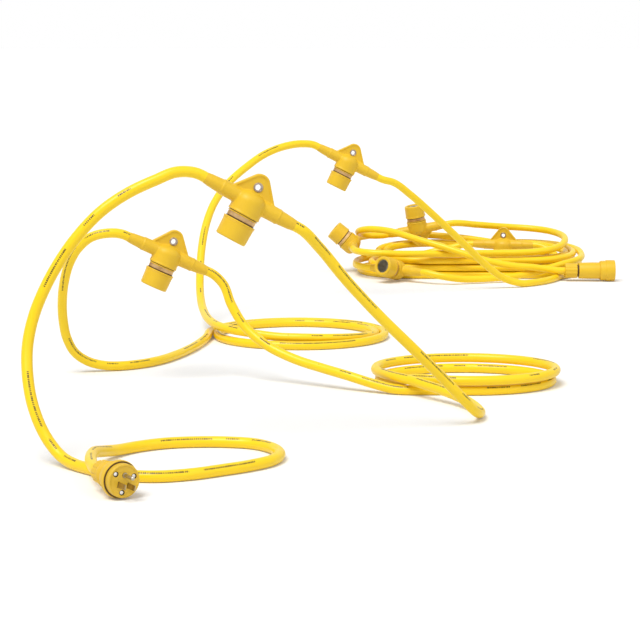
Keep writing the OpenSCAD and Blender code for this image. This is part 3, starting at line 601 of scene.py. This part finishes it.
def rounded(corners):
    """The closed outline of (radius, height, rounding) corners, as points."""
    found = []
    for i, (r, z, rounding) in enumerate(corners):
        here = np.array([r, z], float)
        if rounding == 0:
            found.append(here)
            continue
        back = np.array(corners[i - 1][:2], float) - here
        ahead = np.array(corners[(i + 1) % len(corners)][:2], float) - here
        reach = min(rounding, 0.45 * np.linalg.norm(back), 0.45 * np.linalg.norm(ahead))
        start = here + reach * back / np.linalg.norm(back)
        end = here + reach * ahead / np.linalg.norm(ahead)
        for t in np.linspace(0, 1, CORNER_STEPS + 1):
            found.append((1 - t)**2 * start + 2 * t * (1 - t) * here + t**2 * end)
    return found


def turned(name, corners, made, segments=96):
    """A closed solid turned round Z from its outline."""
    work = bmesh.new()
    rings = []
    for r, z in rounded(corners):
        if r < 1e-6:
            rings.append([work.verts.new((0, 0, z * MM))] * segments)
            continue
        rings.append([work.verts.new((r * MM * math.cos(a), r * MM * math.sin(a), z * MM))
                      for a in np.linspace(0, 2 * math.pi, segments, endpoint=False)])
    for i in range(len(rings)):
        for k in range(segments):
            n = (k + 1) % segments
            quad = dict.fromkeys((rings[i - 1][k], rings[i - 1][n], rings[i][n], rings[i][k]))
            if len(quad) > 2:
                work.faces.new(list(quad)).smooth = True
    bmesh.ops.recalc_face_normals(work, faces=work.faces)
    data = bpy.data.meshes.new(name)
    work.to_mesh(data)
    work.free()
    data.set_sharp_from_angle(angle=SHARP)
    data.materials.append(made)
    return data


def repeated(name, data, places):
    """One piece with a copy of the mesh in each place."""
    work = bmesh.new()
    for place in places:
        copy = data.copy()
        copy.transform(placed(place))
        work.from_mesh(copy)
        bpy.data.meshes.remove(copy)
    joined = bpy.data.meshes.new(name)
    work.to_mesh(joined)
    work.free()
    for made in data.materials:
        joined.materials.append(made)
    return linked(name, joined)


def metal_surface():
    """Group: colour, roughness and height of plated sheet with patches of tarnish."""
    group, given, spot = surface_group("plated sheet", {
        "Colour": (0.8, 0.8, 0.8, 1), "Tarnish": (0.4, 0.35, 0.25, 1), "Tarnish amount": 0.3,
        "Mark size": 300.0, "Roughness": 0.25})
    patch = noise(group, spot, 90.0, detail=4.0, roughness=0.6)
    share = times(group, ranged(group, patch, 0.4, 0.7), given["Tarnish amount"])
    marks = noise(group, spot, given["Mark size"], detail=3.0)
    swing = ranged(group, marks, to_low=-0.08, to_high=0.12)
    node(group, "NodeGroupOutput", {
        "Colour": tinted(group, share, given["Colour"], given["Tarnish"]),
        "Roughness": maths(group, "ADD", swing, given["Roughness"]), "Height": marks})
    return group


PLATED = metal_surface()


def metal(name, colour, tarnish, tarnished, roughness):
    """Plated or bare metal from the shared group."""
    made, _, shader, _ = surfaced(name, PLATED, {
        "Colour": (*colour, 1), "Tarnish": (*tarnish, 1), "Tarnish amount": tarnished,
        "Roughness": roughness}, bump=0.1, depth=0.0002)
    shader.inputs["Metallic"].default_value = 1.0
    return made


EYELET = metal("eyelet plating", (0.44, 0.35, 0.27), (0.12, 0.06, 0.03), tarnished=0.6,
               roughness=0.26)
eyelet = turned("eyelet", EYELET_OUTLINE, EYELET, segments=48)
eyelet.transform(Matrix.Rotation(math.pi / 2, 4, "X"))
eyelet.transform(Matrix.Translation((0, 0, EYELET_RISE * MM)))
piece = repeated("eyelets", eyelet, HOLDERS)
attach(piece, "string")
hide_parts("tab_eyelets")

# ---- collars ---------------------------------------------------------
# A spun and plated steel collar with a knurled band holds the lamp socket in each hub. A yellow
# rubber ring lies against the hub. Two thin near-black rings, at the joins with the hub and the
# skirt, are painted shade of the gaps there.
COLLAR_OUTLINE = [(17.6, -19.5, 0), (19.3, -19.5, 0), (19.3, -21.9, 0), (19.75, -21.9, 0.3),
                  (19.75, -27.6, 0.4), (18.9, -28.0, 0), (18.9, -29.0, 0), (17.6, -29.0, 0)]
KNURL = {"Ribs": 72, "Band radius": 19.65 * MM, "Rib radius": 0.5 * MM,
         "Rib length": 5.2 * MM, "Height": -24.8 * MM}
RING_OUTLINE = [(18.6, -20.4, 0), (21.1, -20.4, 0.6), (21.1, -21.8, 0.6), (18.6, -21.8, 0)]
# Thin near-black rings at both ends of the collar: painted shade of the gaps to the hub and the
# skirt.
GAP_SHADE_OUTLINES = [
    [(18.6, -19.45, 0), (20.4, -19.45, 0), (20.4, -20.45, 0), (18.6, -20.45, 0)],
    [(18.6, -28.05, 0), (20.4, -28.05, 0), (20.4, -29.2, 0), (18.6, -29.2, 0)]]
COLLAR = metal("collar plating", (0.66, 0.45, 0.22), (0.34, 0.18, 0.07), tarnished=0.55,
               roughness=0.3)


def geometry_tree(name, sizes):
    """A Geometry Nodes tree that takes a blank, a material and its named sizes."""
    tree = bpy.data.node_groups.new(name, "GeometryNodeTree")
    for kind, socket in (("Geometry", "Blank"), ("Material", "Finish")):
        tree.interface.new_socket(name=socket, in_out="INPUT", socket_type="NodeSocket" + kind)
    sockets(tree, sizes, {"Finished": "Geometry"})
    return tree, node(tree, "NodeGroupInput").outputs


def finished(tree, given, shape):
    """The end of every tree: instances made real, and the material set."""
    real = node(tree, "GeometryNodeRealizeInstances", {0: shape})
    coated = node(tree, "GeometryNodeSetMaterial", {"Geometry": real.outputs[0],
                  "Material": given["Finish"]})
    node(tree, "NodeGroupOutput", {"Finished": coated.outputs[0]})
    return tree


def on_blank(tree, given, added):
    """The end of a tree that adds shapes to its blank."""
    both = node(tree, "GeometryNodeJoinGeometry", {0: added})
    tree.links.new(given["Blank"], both.inputs[0])
    return finished(tree, given, both.outputs[0])


def worked(blank, tree, sizes, finish):
    """The blank put through a tree, as a plain mesh in its finish."""
    piece = linked(tree.name, blank)
    step = piece.modifiers.new(tree.name, "NODES")
    step.node_group = tree
    given = {"Finish": finish, **sizes}
    for item in tree.interface.items_tree:
        if item.name in given:
            step[item.identifier] = given[item.name]
    data = plain_mesh(piece)
    data.materials.clear()
    data.materials.append(finish)
    return data


def vector(tree, **parts):
    return node(tree, "ShaderNodeCombineXYZ", parts).outputs[0]


def knurl_tree(sizes):
    """Round ribs that stand upright side by side round a band."""
    tree, given = geometry_tree("knurled band", sizes)
    circle = node(tree, "GeometryNodeMeshCircle", {"Vertices": given["Ribs"],
                  "Radius": given["Band radius"]})
    rib = node(tree, "GeometryNodeMeshCylinder", {"Vertices": 6, "Radius": given["Rib radius"],
               "Depth": given["Rib length"]})
    ribs = node(tree, "GeometryNodeInstanceOnPoints", {"Points": circle.outputs["Mesh"],
                "Instance": rib.outputs["Mesh"]})
    moved = node(tree, "GeometryNodeTransform", {"Geometry": ribs.outputs[0],
                 "Translation": vector(tree, Z=given["Height"])})
    return on_blank(tree, given, moved.outputs[0])


collar = turned("collar", COLLAR_OUTLINE, COLLAR, segments=72)
collar = worked(collar, knurl_tree(KNURL), KNURL, COLLAR)
piece = repeated("collars_plated", collar, HOLDERS)
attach(piece, "string")
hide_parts("collars")
ring = turned("collar ring", RING_OUTLINE, RUBBER, segments=72)
piece = repeated("collar_rings", ring, HOLDERS)
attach(piece, "string")
# Near-black rubber for thin rings that are painted shade: the gaps at the collars, the plug's
# groove and the connector's neck.
GAP_SHADE = compound("gap shade rubber", (0.085, 0.035, 0.006), (0.05, 0.02, 0.004),
                  cloud_size=40.0, cloud_amount=0.5, grain_size=900.0, roughness=0.6,
                  bump=0.2)[0]
# Each collar gets two thin near-black rings as painted shade of its gaps to the hub and the
# skirt.
for name, outline in zip(("upper_gap_shade_rings", "lower_gap_shade_rings"), GAP_SHADE_OUTLINES):
    piece = repeated(name, turned(name, outline, GAP_SHADE, segments=72), HOLDERS)
    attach(piece, "string")

# ---- lamp sockets ----------------------------------------------------
# Inside each collar sits a pale moulded insert with a threaded shell of thin rolled metal
# for the lamp, and a brass button on a spring for its centre contact.
SHELL_TOP = -24.0
SHELL_FOOT = -53.0
THREAD = {"Pitch": 3.63 * MM, "Depth": 0.5 * MM}
SHELL_BORE_R = 13.3
SHELL_WALL = 0.25
SHELL_RINGS = 49
INSERT = compound("insert moulding", (0.75, 0.72, 0.64), (0.6, 0.56, 0.48),
                  cloud_size=20.0, cloud_amount=0.3, grain_size=700.0, roughness=0.4,
                  bump=0.15)[0]
SHELL = metal("screw shell", (0.62, 0.60, 0.55), (0.30, 0.27, 0.2), tarnished=0.4,
              roughness=0.3)
BRASS = metal("contact brass", (0.55, 0.40, 0.16), (0.26, 0.17, 0.06), tarnished=0.5,
              roughness=0.3)


def round_z(tree):
    """Each point's angle round Z, and its X, Y and Z."""
    spot = node(tree, "GeometryNodeInputPosition")
    apart = node(tree, "ShaderNodeSeparateXYZ", {0: spot.outputs[0]}).outputs
    return maths(tree, "ARCTAN2", apart["Y"], apart["X"]), apart


def pushed_out(tree, given, angle, swing):
    """The blank with each point moved away from Z by its swing."""
    outward = vector(tree, X=times(tree, maths(tree, "COSINE", angle), swing),
                     Y=times(tree, maths(tree, "SINE", angle), swing))
    moved = node(tree, "GeometryNodeSetPosition", {"Geometry": given["Blank"],
                 "Offset": outward})
    return finished(tree, given, moved.outputs[0])


def thread_tree(sizes):
    """A rolled thread: the wall swings out and in along a helix."""
    tree, given = geometry_tree("rolled thread", sizes)
    angle, apart = round_z(tree)
    turns = maths(tree, "DIVIDE", apart["Z"], given["Pitch"])
    phase = maths(tree, "SUBTRACT", times(tree, turns, 2 * math.pi), angle)
    wave = maths(tree, "ADD", times(tree, maths(tree, "COSINE", phase), 0.5), 0.5)
    return pushed_out(tree, given, angle, times(tree, wave, given["Depth"]))


down = np.linspace(SHELL_TOP, SHELL_FOOT, SHELL_RINGS)
shell_outline = [(SHELL_BORE_R, z, 0) for z in down]
shell_outline += [(SHELL_BORE_R + SHELL_WALL, z, 0) for z in down[::-1]]
shell = turned("screw shell", shell_outline, SHELL, segments=64)
shell = worked(shell, thread_tree(THREAD), THREAD, SHELL)
piece = repeated("screw_shells_rolled", shell, HOLDERS)
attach(piece, "string")
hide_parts("screw_shells")


def finish_node(name, made):
    """A solid that is shown as it was packed, in its own finish."""
    data = cad[name].data
    data.materials.clear()
    data.materials.append(made)


finish_node("socket_inserts", INSERT)
for i in range(1, 8):
    finish_node(f"centre_contact_{i}", BRASS)

# ---- lamp skirts -----------------------------------------------------
# A soft rubber skirt turns on each collar and closes on the lamp's neck to keep water out.
# It is moulded with a double band at its top and a well-rounded foot.
SKIRT_TOP = -29.3
SKIRT_FOOT = -56.3
SKIRT_BORE_R = 14.2
BAND_R = 22.75
SECOND_BAND_R = 22.45
SKIRT_BODY_R = 21.95
SKIRT_FOOT_R = 21.35
SKIRT_OUTLINE = [
    (SKIRT_BORE_R, SKIRT_TOP, 0.4), (BAND_R, SKIRT_TOP, 0.9), (BAND_R, SKIRT_TOP - 2.0, 0.6),
    (SKIRT_BODY_R, SKIRT_TOP - 2.4, 0.4), (SECOND_BAND_R, SKIRT_TOP - 3.2, 0.5),
    (SKIRT_BODY_R, SKIRT_TOP - 4.3, 0.6), (SKIRT_FOOT_R, SKIRT_FOOT, 3.4),
    (SKIRT_BORE_R + 1.2, SKIRT_FOOT, 1.2), (SKIRT_BORE_R, SKIRT_FOOT + 2.0, 1.0)]
skirt_mesh = turned("lamp skirt", SKIRT_OUTLINE, RUBBER)
for i, place in enumerate(HOLDERS, 1):
    piece = repeated(f"skirt_{i}_rubber", skirt_mesh, [place])
    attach(piece, f"skirt_{i}")
    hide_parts(f"lamp_skirt_{i}")

# ---- plug: shell and nut ---------------------------------------------
# The shell is a rubber moulding with five grip ridges behind its rim. A fluted clamp nut screws
# on its neck and grips the cord. A thin near-black ring in the groove between the rim and the
# face is painted shade of that groove.
PLUG_SHELL_OUTLINE = [
    (0, -60, 0), (10.5, -60, 0.5), (10.5, -48, 0), (15.0, -48, 0.8), (15.6, -45, 1.0),
    (18.1, -31, 3.0), (20.3, -22.5, 4.0), (21.6, -18.6, 1.2), (23.0, -17.4, 0.8),
    (23.0, -10, 1.0), (17.1, -10, 0), (17.1, -22, 0), (0, -22, 0)]
GROOVE_SHADE_OUTLINE = [(17.1, -10.0, 0), (22.1, -10.0, 0.2), (22.1, -9.0, 0.3), (17.1, -9.0, 0)]
RIDGES = {"Ridges": 5, "Start": -44.0 * MM, "Pitch": 3.0 * MM, "First radius": 15.1 * MM,
          "Growth": 0.55 * MM, "Ridge radius": 1.0 * MM}


def ridge_tree(sizes):
    """Rings in even steps along a neck, each wider than the last."""
    tree, given = geometry_tree("grip ridges", sizes)
    row = node(tree, "GeometryNodeMeshLine", {
        "Count": given["Ridges"], "Start Location": vector(tree, Z=given["Start"]),
        "Offset": vector(tree, Z=given["Pitch"])})
    path = node(tree, "GeometryNodeCurvePrimitiveCircle", {"Resolution": 96,
                "Radius": given["First radius"]})
    section = node(tree, "GeometryNodeCurvePrimitiveCircle", {"Resolution": 12,
                   "Radius": given["Ridge radius"]})
    ring = node(tree, "GeometryNodeCurveToMesh", {"Curve": path.outputs[0],
                "Profile Curve": section.outputs[0]})
    index = node(tree, "GeometryNodeInputIndex")
    share = maths(tree, "DIVIDE", given["Growth"], given["First radius"])
    wider = maths(tree, "ADD", times(tree, index.outputs[0], share), 1.0)
    rings = node(tree, "GeometryNodeInstanceOnPoints", {
        "Points": row.outputs["Mesh"], "Instance": ring.outputs[0],
        "Scale": vector(tree, X=wider, Y=wider, Z=1.0)})
    return on_blank(tree, given, rings.outputs[0])


shell = turned("plug shell", PLUG_SHELL_OUTLINE, RUBBER)
shell = worked(shell, ridge_tree(RIDGES), RIDGES, RUBBER)
piece = repeated("plug_shell_rubber", shell, [PLUG_PLACE])
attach(piece, "string")
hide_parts("plug_shell")
# A near-black ring in the groove between the rim and the face: painted shade of the groove.
piece = repeated("plug_groove_shade", turned("gap shade", GROOVE_SHADE_OUTLINE, GAP_SHADE), [PLUG_PLACE])
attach(piece, "string")

NUT_HOLE_R = 7.9
SPIGOT_CLEAR_R = 10.8
NUT_WALL = 2.0
NUT_DRAFT = 0.35
PLUG_NUT_R = 15.0
PLUG_NUT_H = 14.0
PLUG_NUT_MOUTH = -48.3
FLUTES = {"Flutes": 12, "Depth": 1.0 * MM, "Outer radius": PLUG_NUT_R * MM}


def nut_outline(r, h):
    """A clamp nut with its open end at z = 0 and its wall at z = -h."""
    skin = [(r - NUT_DRAFT + NUT_DRAFT * (z + h) / h, z, 0)
            for z in np.linspace(1.8 - h, -1.2, 8)]
    return [(NUT_HOLE_R, -h, 0.5), (r - 1.0, -h, 0.9), *skin, (r - 0.2, 0, 0.8),
            (SPIGOT_CLEAR_R, 0, 0), (SPIGOT_CLEAR_R, NUT_WALL - h, 0),
            (NUT_HOLE_R, NUT_WALL - h, 0)]


def flute_tree(sizes):
    """Hollows pressed into the outside of a nut, in even steps round it."""
    tree, given = geometry_tree("grip flutes", sizes)
    angle, apart = round_z(tree)
    reach = node(tree, "ShaderNodeVectorMath", {0: vector(tree, X=apart["X"], Y=apart["Y"])},
                 operation="LENGTH")
    swing = maths(tree, "COSINE", times(tree, angle, given["Flutes"]))
    hollow = ranged(tree, swing, 0.25, 0.95, interpolation_type="SMOOTHSTEP")
    inner = times(tree, given["Outer radius"], 0.9)
    outside = maths(tree, "GREATER_THAN", reach.outputs["Value"], inner)
    depth = times(tree, times(tree, hollow, outside), times(tree, given["Depth"], -1.0))
    return pushed_out(tree, given, angle, depth)


FLUTED = flute_tree(FLUTES)


def clamp_nut(name, r, h, mouth):
    """A fluted nut, with the height of its open end in the frame of its own plug."""
    blank = turned(name, nut_outline(r, h), RUBBER, segments=144)
    data = worked(blank, FLUTED, {**FLUTES, "Outer radius": r * MM}, RUBBER)
    data.transform(Matrix.Translation((0, 0, mouth * MM)))
    return data


nut = clamp_nut("plug nut", PLUG_NUT_R, PLUG_NUT_H, PLUG_NUT_MOUTH)
piece = repeated("plug_nut_fluted", nut, [PLUG_PLACE])
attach(piece, "plug_nut")
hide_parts("plug_clamp_nut")

# ---- plug: face, pins and screws -------------------------------------
# The face is a smooth moulded disc with a raised edge and faint rings. Two brass blades and
# a longer round ground pin stand in it, and three sunk screws hold it to the shell.
DISH = -0.8
FACE_OUTLINE = [
    (0, -22, 0), (17.0, -22, 0), (17.0, -9.0, 0), (20.5, -9.0, 0.3), (20.5, 0, 1.1),
    (18.2, 0, 0.6), (17.3, DISH, 0.6), (13.2, DISH, 0.1), (13.0, -0.62, 0.1),
    (12.6, -0.62, 0.1), (12.4, DISH, 0.1), (9.3, DISH, 0.1), (9.1, -0.66, 0.1),
    (8.8, -0.66, 0.1), (8.6, DISH, 0.1), (0, DISH, 0)]
PLUG_ROLL = math.radians(-12)
BLADE_PITCH = 12.7
BLADE_W = 6.35
BLADE_T = 1.52
GROUND_OFFSET = 11.9
GROUND_UP = 7.0
GROUND_ROOT_R = 2.98
SCREW_CIRCLE = 14.0
RECESS_R = 3.4
RECESS_DEPTH = 2.2
SLOT_DEPTH = 1.5
BLADE_SLACK = 0.7
PIN_SLACK = 0.35
SCREWS = {"Screws": 3, "Circle radius": SCREW_CIRCLE * MM, "First at": PLUG_ROLL,
          "Slot turn": 0.9}
SLOT_CUT = ((6.0, 0.7, 0.8), (0, 0, -1.2))
SCREW_OUTLINE = [(0, -8, 0), (1.4, -8, 0), (1.4, -2.6, 0), (2.5, -2.6, 0.3), (2.5, -1.5, 0.7),
                 (0, -1.1, 0)]
FACE = compound("face moulding", (0.76, 0.48, 0.027), (0.66, 0.40, 0.018), cloud_size=30.0,
                cloud_amount=0.3, grain_size=900.0, roughness=0.42, bump=0.2)[0]
# Near-black for the walls of the screw recesses, blade slots and pin hole: painted shade.
RECESS = compound("recess shade", (0.05, 0.028, 0.008), (0.03, 0.016, 0.005),
                  cloud_size=40.0, cloud_amount=0.3, grain_size=900.0, roughness=0.7,
                  bump=0.2)[0]
SCREW = metal("screw plating", (0.80, 0.78, 0.74), (0.30, 0.26, 0.2), tarnished=0.35,
              roughness=0.25)
BLADE = metal("blade brass", (0.50, 0.40, 0.22), (0.22, 0.15, 0.06), tarnished=0.6,
              roughness=0.3)
PIN = metal("ground pin plating", (0.55, 0.50, 0.40), (0.16, 0.12, 0.07), tarnished=0.6,
            roughness=0.28)


def cutters(rows):
    """Blocks and rounds that are cut out of a piece; the walls they leave take the near-black
    painted shade of a recess.
    """
    work = bmesh.new()
    for size, spot in rows:
        place = Matrix.Rotation(PLUG_ROLL, 4, "Z") @ Matrix.Translation(Vector(spot) * MM)
        if len(size) == 2:
            bmesh.ops.create_cone(work, cap_ends=True, segments=32, radius1=size[0] * MM,
                                  radius2=size[0] * MM, depth=size[1] * MM, matrix=place)
        else:
            bmesh.ops.create_cube(work, size=1.0, matrix=place @ Matrix.Diagonal(
                (size[0] * MM, size[1] * MM, size[2] * MM, 1)))
    data = bpy.data.meshes.new("cutters")
    work.to_mesh(data)
    work.free()
    data.materials.append(RECESS)
    return data


def cut(data, rows):
    """The mesh with the blocks and rounds of the rows cut out of it."""
    piece = linked("to cut", data)
    tool = linked("cutters", cutters(rows))
    step = piece.modifiers.new("cut", "BOOLEAN")
    step.operation = "DIFFERENCE"
    step.solver = "EXACT"
    step.material_mode = "TRANSFER"
    step.object = tool
    made = plain_mesh(piece)
    bpy.data.objects.remove(tool)
    made.set_sharp_from_angle(angle=SHARP)
    return made


screw_turns = [2 * math.pi * k / SCREWS["Screws"] for k in range(SCREWS["Screws"])]
screw_spots = [(SCREW_CIRCLE * math.cos(a), SCREW_CIRCLE * math.sin(a)) for a in screw_turns]
blade_spots = [(GROUND_OFFSET - GROUND_UP, s * BLADE_PITCH / 2) for s in (-1, 1)]
# The cut walls of the screw recesses, blade slots and pin hole are near-black painted shade.
face = cut(turned("plug face", FACE_OUTLINE, FACE), [
    *(((RECESS_R, 2 * RECESS_DEPTH), (x, y, DISH)) for x, y in screw_spots),
    *(((BLADE_W + BLADE_SLACK, BLADE_T + BLADE_SLACK, 2 * SLOT_DEPTH), (x, y, DISH))
      for x, y in blade_spots),
    ((GROUND_ROOT_R + PIN_SLACK, 2 * SLOT_DEPTH), (-GROUND_UP, 0, DISH))])
piece = repeated("plug_face_moulded", face, [PLUG_PLACE])
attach(piece, "string")
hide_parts("plug_face")


def screw_tree(sizes):
    """A screw at each of a number of places round a circle, each driven home a bit further."""
    tree, given = geometry_tree("screws on a circle", sizes)
    circle = node(tree, "GeometryNodeMeshCircle", {"Vertices": given["Screws"],
                  "Radius": given["Circle radius"]})
    rolled = node(tree, "GeometryNodeTransform", {"Geometry": circle.outputs["Mesh"],
                  "Rotation": vector(tree, Z=given["First at"])})
    index = node(tree, "GeometryNodeInputIndex")
    driven = times(tree, index.outputs[0], given["Slot turn"])
    spin = node(tree, "FunctionNodeEulerToRotation", {0: vector(tree, Z=driven)})
    screws = node(tree, "GeometryNodeInstanceOnPoints", {"Points": rolled.outputs[0],
                  "Instance": given["Blank"], "Rotation": spin.outputs[0]})
    return finished(tree, given, screws.outputs[0])


head = cut(turned("face screw", SCREW_OUTLINE, SCREW, segments=32), [SLOT_CUT])
screws = worked(head, screw_tree(SCREWS), SCREWS, SCREW)
piece = repeated("face_screws_sunk", screws, [PLUG_PLACE])
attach(piece, "string")
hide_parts("face_screws")
finish_node("line_blades", BLADE)
finish_node("ground_pin", PIN)

# ---- connector -------------------------------------------------------
# The connector has the same rubber compound and clamp nut as the plug. A wider sleeve with a
# thicker lip shrouds its face. A thin near-black ring on the neck between the nut and the body
# is painted shade of that gap.
BODY_OUTLINE = [(0, 2.3, 0), (10.5, 2.3, 0.4), (10.5, 26.3, 0), (11.9, 26.3, 0), (11.9, 30, 0),
                (17.3, 30, 1.3), (18.0, 56, 6.0), (18.0, 80, 0), (0, 80, 0)]
# A thin near-black ring on the neck between the nut and the body: painted shade of that gap.
NECK_SHADE_OUTLINE = [(11.9, 26.2, 0), (12.3, 26.2, 0), (12.3, 30.0, 0), (11.9, 30.0, 0)]
SLEEVE_OUTLINE = [
    (18.1, 76, 0), (20.5, 76, 0.9), (21.6, 78.4, 1.2), (21.6, 88.0, 0.6), (23.0, 89.2, 0.9),
    (23.0, 108, 1.1), (20.8, 108, 0.6), (20.8, 90, 0), (19.5, 90, 0), (19.5, 80, 0),
    (18.1, 80, 0)]
CONNECTOR_NUT_R = 16.0
CONNECTOR_NUT_H = 26.0
for name, data, nodes in [
        ("connector_body_rubber", turned("connector body", BODY_OUTLINE, RUBBER),
         ["connector_body"]),
        ("connector_sleeve_rubber", turned("connector sleeve", SLEEVE_OUTLINE, RUBBER),
         ["connector_lip"]),
        ("connector_neck_shade", turned("connector neck shade", NECK_SHADE_OUTLINE, GAP_SHADE), [])]:
    piece = repeated(name, data, [CONNECTOR_PLACE])
    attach(piece, "string")
    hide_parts(*nodes)
nut = clamp_nut("connector nut", CONNECTOR_NUT_R, CONNECTOR_NUT_H, CONNECTOR_NUT_H)
piece = repeated("connector_nut_fluted", nut, [CONNECTOR_PLACE])
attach(piece, "connector_nut")
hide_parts("connector_clamp_nut")
finish_node("connector_face", FACE)
finish_node("connector_contacts", BRASS)

# ---- floor and light -------------------------------------------------
# A white seamless floor under two broad soft lamps, with a pale studio all round. The floor
# and the studio are lifted to plain white where they are seen, and the shadows stay.
FLOOR_HALF = 40
FLOOR_DROP = 0.0002
FLOOR_LIFT = 0.1
STUDIO_LIGHT = 0.3
corners = [(-FLOOR_HALF, -FLOOR_HALF, 0), (FLOOR_HALF, -FLOOR_HALF, 0),
           (FLOOR_HALF, FLOOR_HALF, 0), (-FLOOR_HALF, FLOOR_HALF, 0)]
floor_mesh = bpy.data.meshes.new("floor")
floor_mesh.from_pydata(corners, [], [(0, 1, 2, 3)])
floor = linked("floor", floor_mesh)
floor.location.z = -FLOOR_DROP
paper, tree, shader = material("paper")
shader.inputs["Base Color"].default_value = (0.9, 0.9, 0.9, 1)
shader.inputs["Roughness"].default_value = 0.9
shader.inputs["Specular IOR Level"].default_value = 0.1


def seen_directly(tree):
    """Light Path's camera, glossy and transmission rays in one."""
    path = node(tree, "ShaderNodeLightPath")
    first = maths(tree, "MAXIMUM", path.outputs["Is Camera Ray"], path.outputs["Is Glossy Ray"])
    return maths(tree, "MAXIMUM", first, path.outputs["Is Transmission Ray"])


lift = node(tree, "ShaderNodeEmission", {"Color": (1, 1, 1, 1), "Strength": FLOOR_LIFT})
both = node(tree, "ShaderNodeAddShader", {0: shader.outputs[0], 1: lift.outputs[0]})
choose = node(tree, "ShaderNodeMixShader", {0: seen_directly(tree), 1: shader.outputs[0],
              2: both.outputs[0]})
paper_out = next(n for n in tree.nodes if n.type == "OUTPUT_MATERIAL")
tree.links.new(choose.outputs[0], paper_out.inputs[0])
floor.data.materials.append(paper)

world = bpy.data.worlds.new("studio")
bpy.context.scene.world = world
world.use_nodes = True
tree = world.node_tree
tree.nodes.clear()
strength = ranged(tree, seen_directly(tree), to_low=STUDIO_LIGHT)
light = node(tree, "ShaderNodeBackground", {"Color": (1, 1, 1, 1), "Strength": strength})
node(tree, "ShaderNodeOutputWorld", {0: light.outputs[0]})


def soft_lamp(name, towards, spread, power):
    """An even lamp from a direction, softened over an angle in degrees."""
    data = bpy.data.lights.new(name, "SUN")
    data.energy = power
    data.angle = math.radians(spread)
    lamp = linked(name, data)
    lamp.rotation_euler = (-Vector(towards)).to_track_quat("-Z", "Y").to_euler()


soft_lamp("soft key, high on the left", (-0.5, -0.8, 1.6), spread=35, power=2.5)
soft_lamp("fill, low on the right", (0.9, -0.7, 0.9), spread=60, power=0.6)

bpy.context.scene.view_settings.view_transform = "Standard"
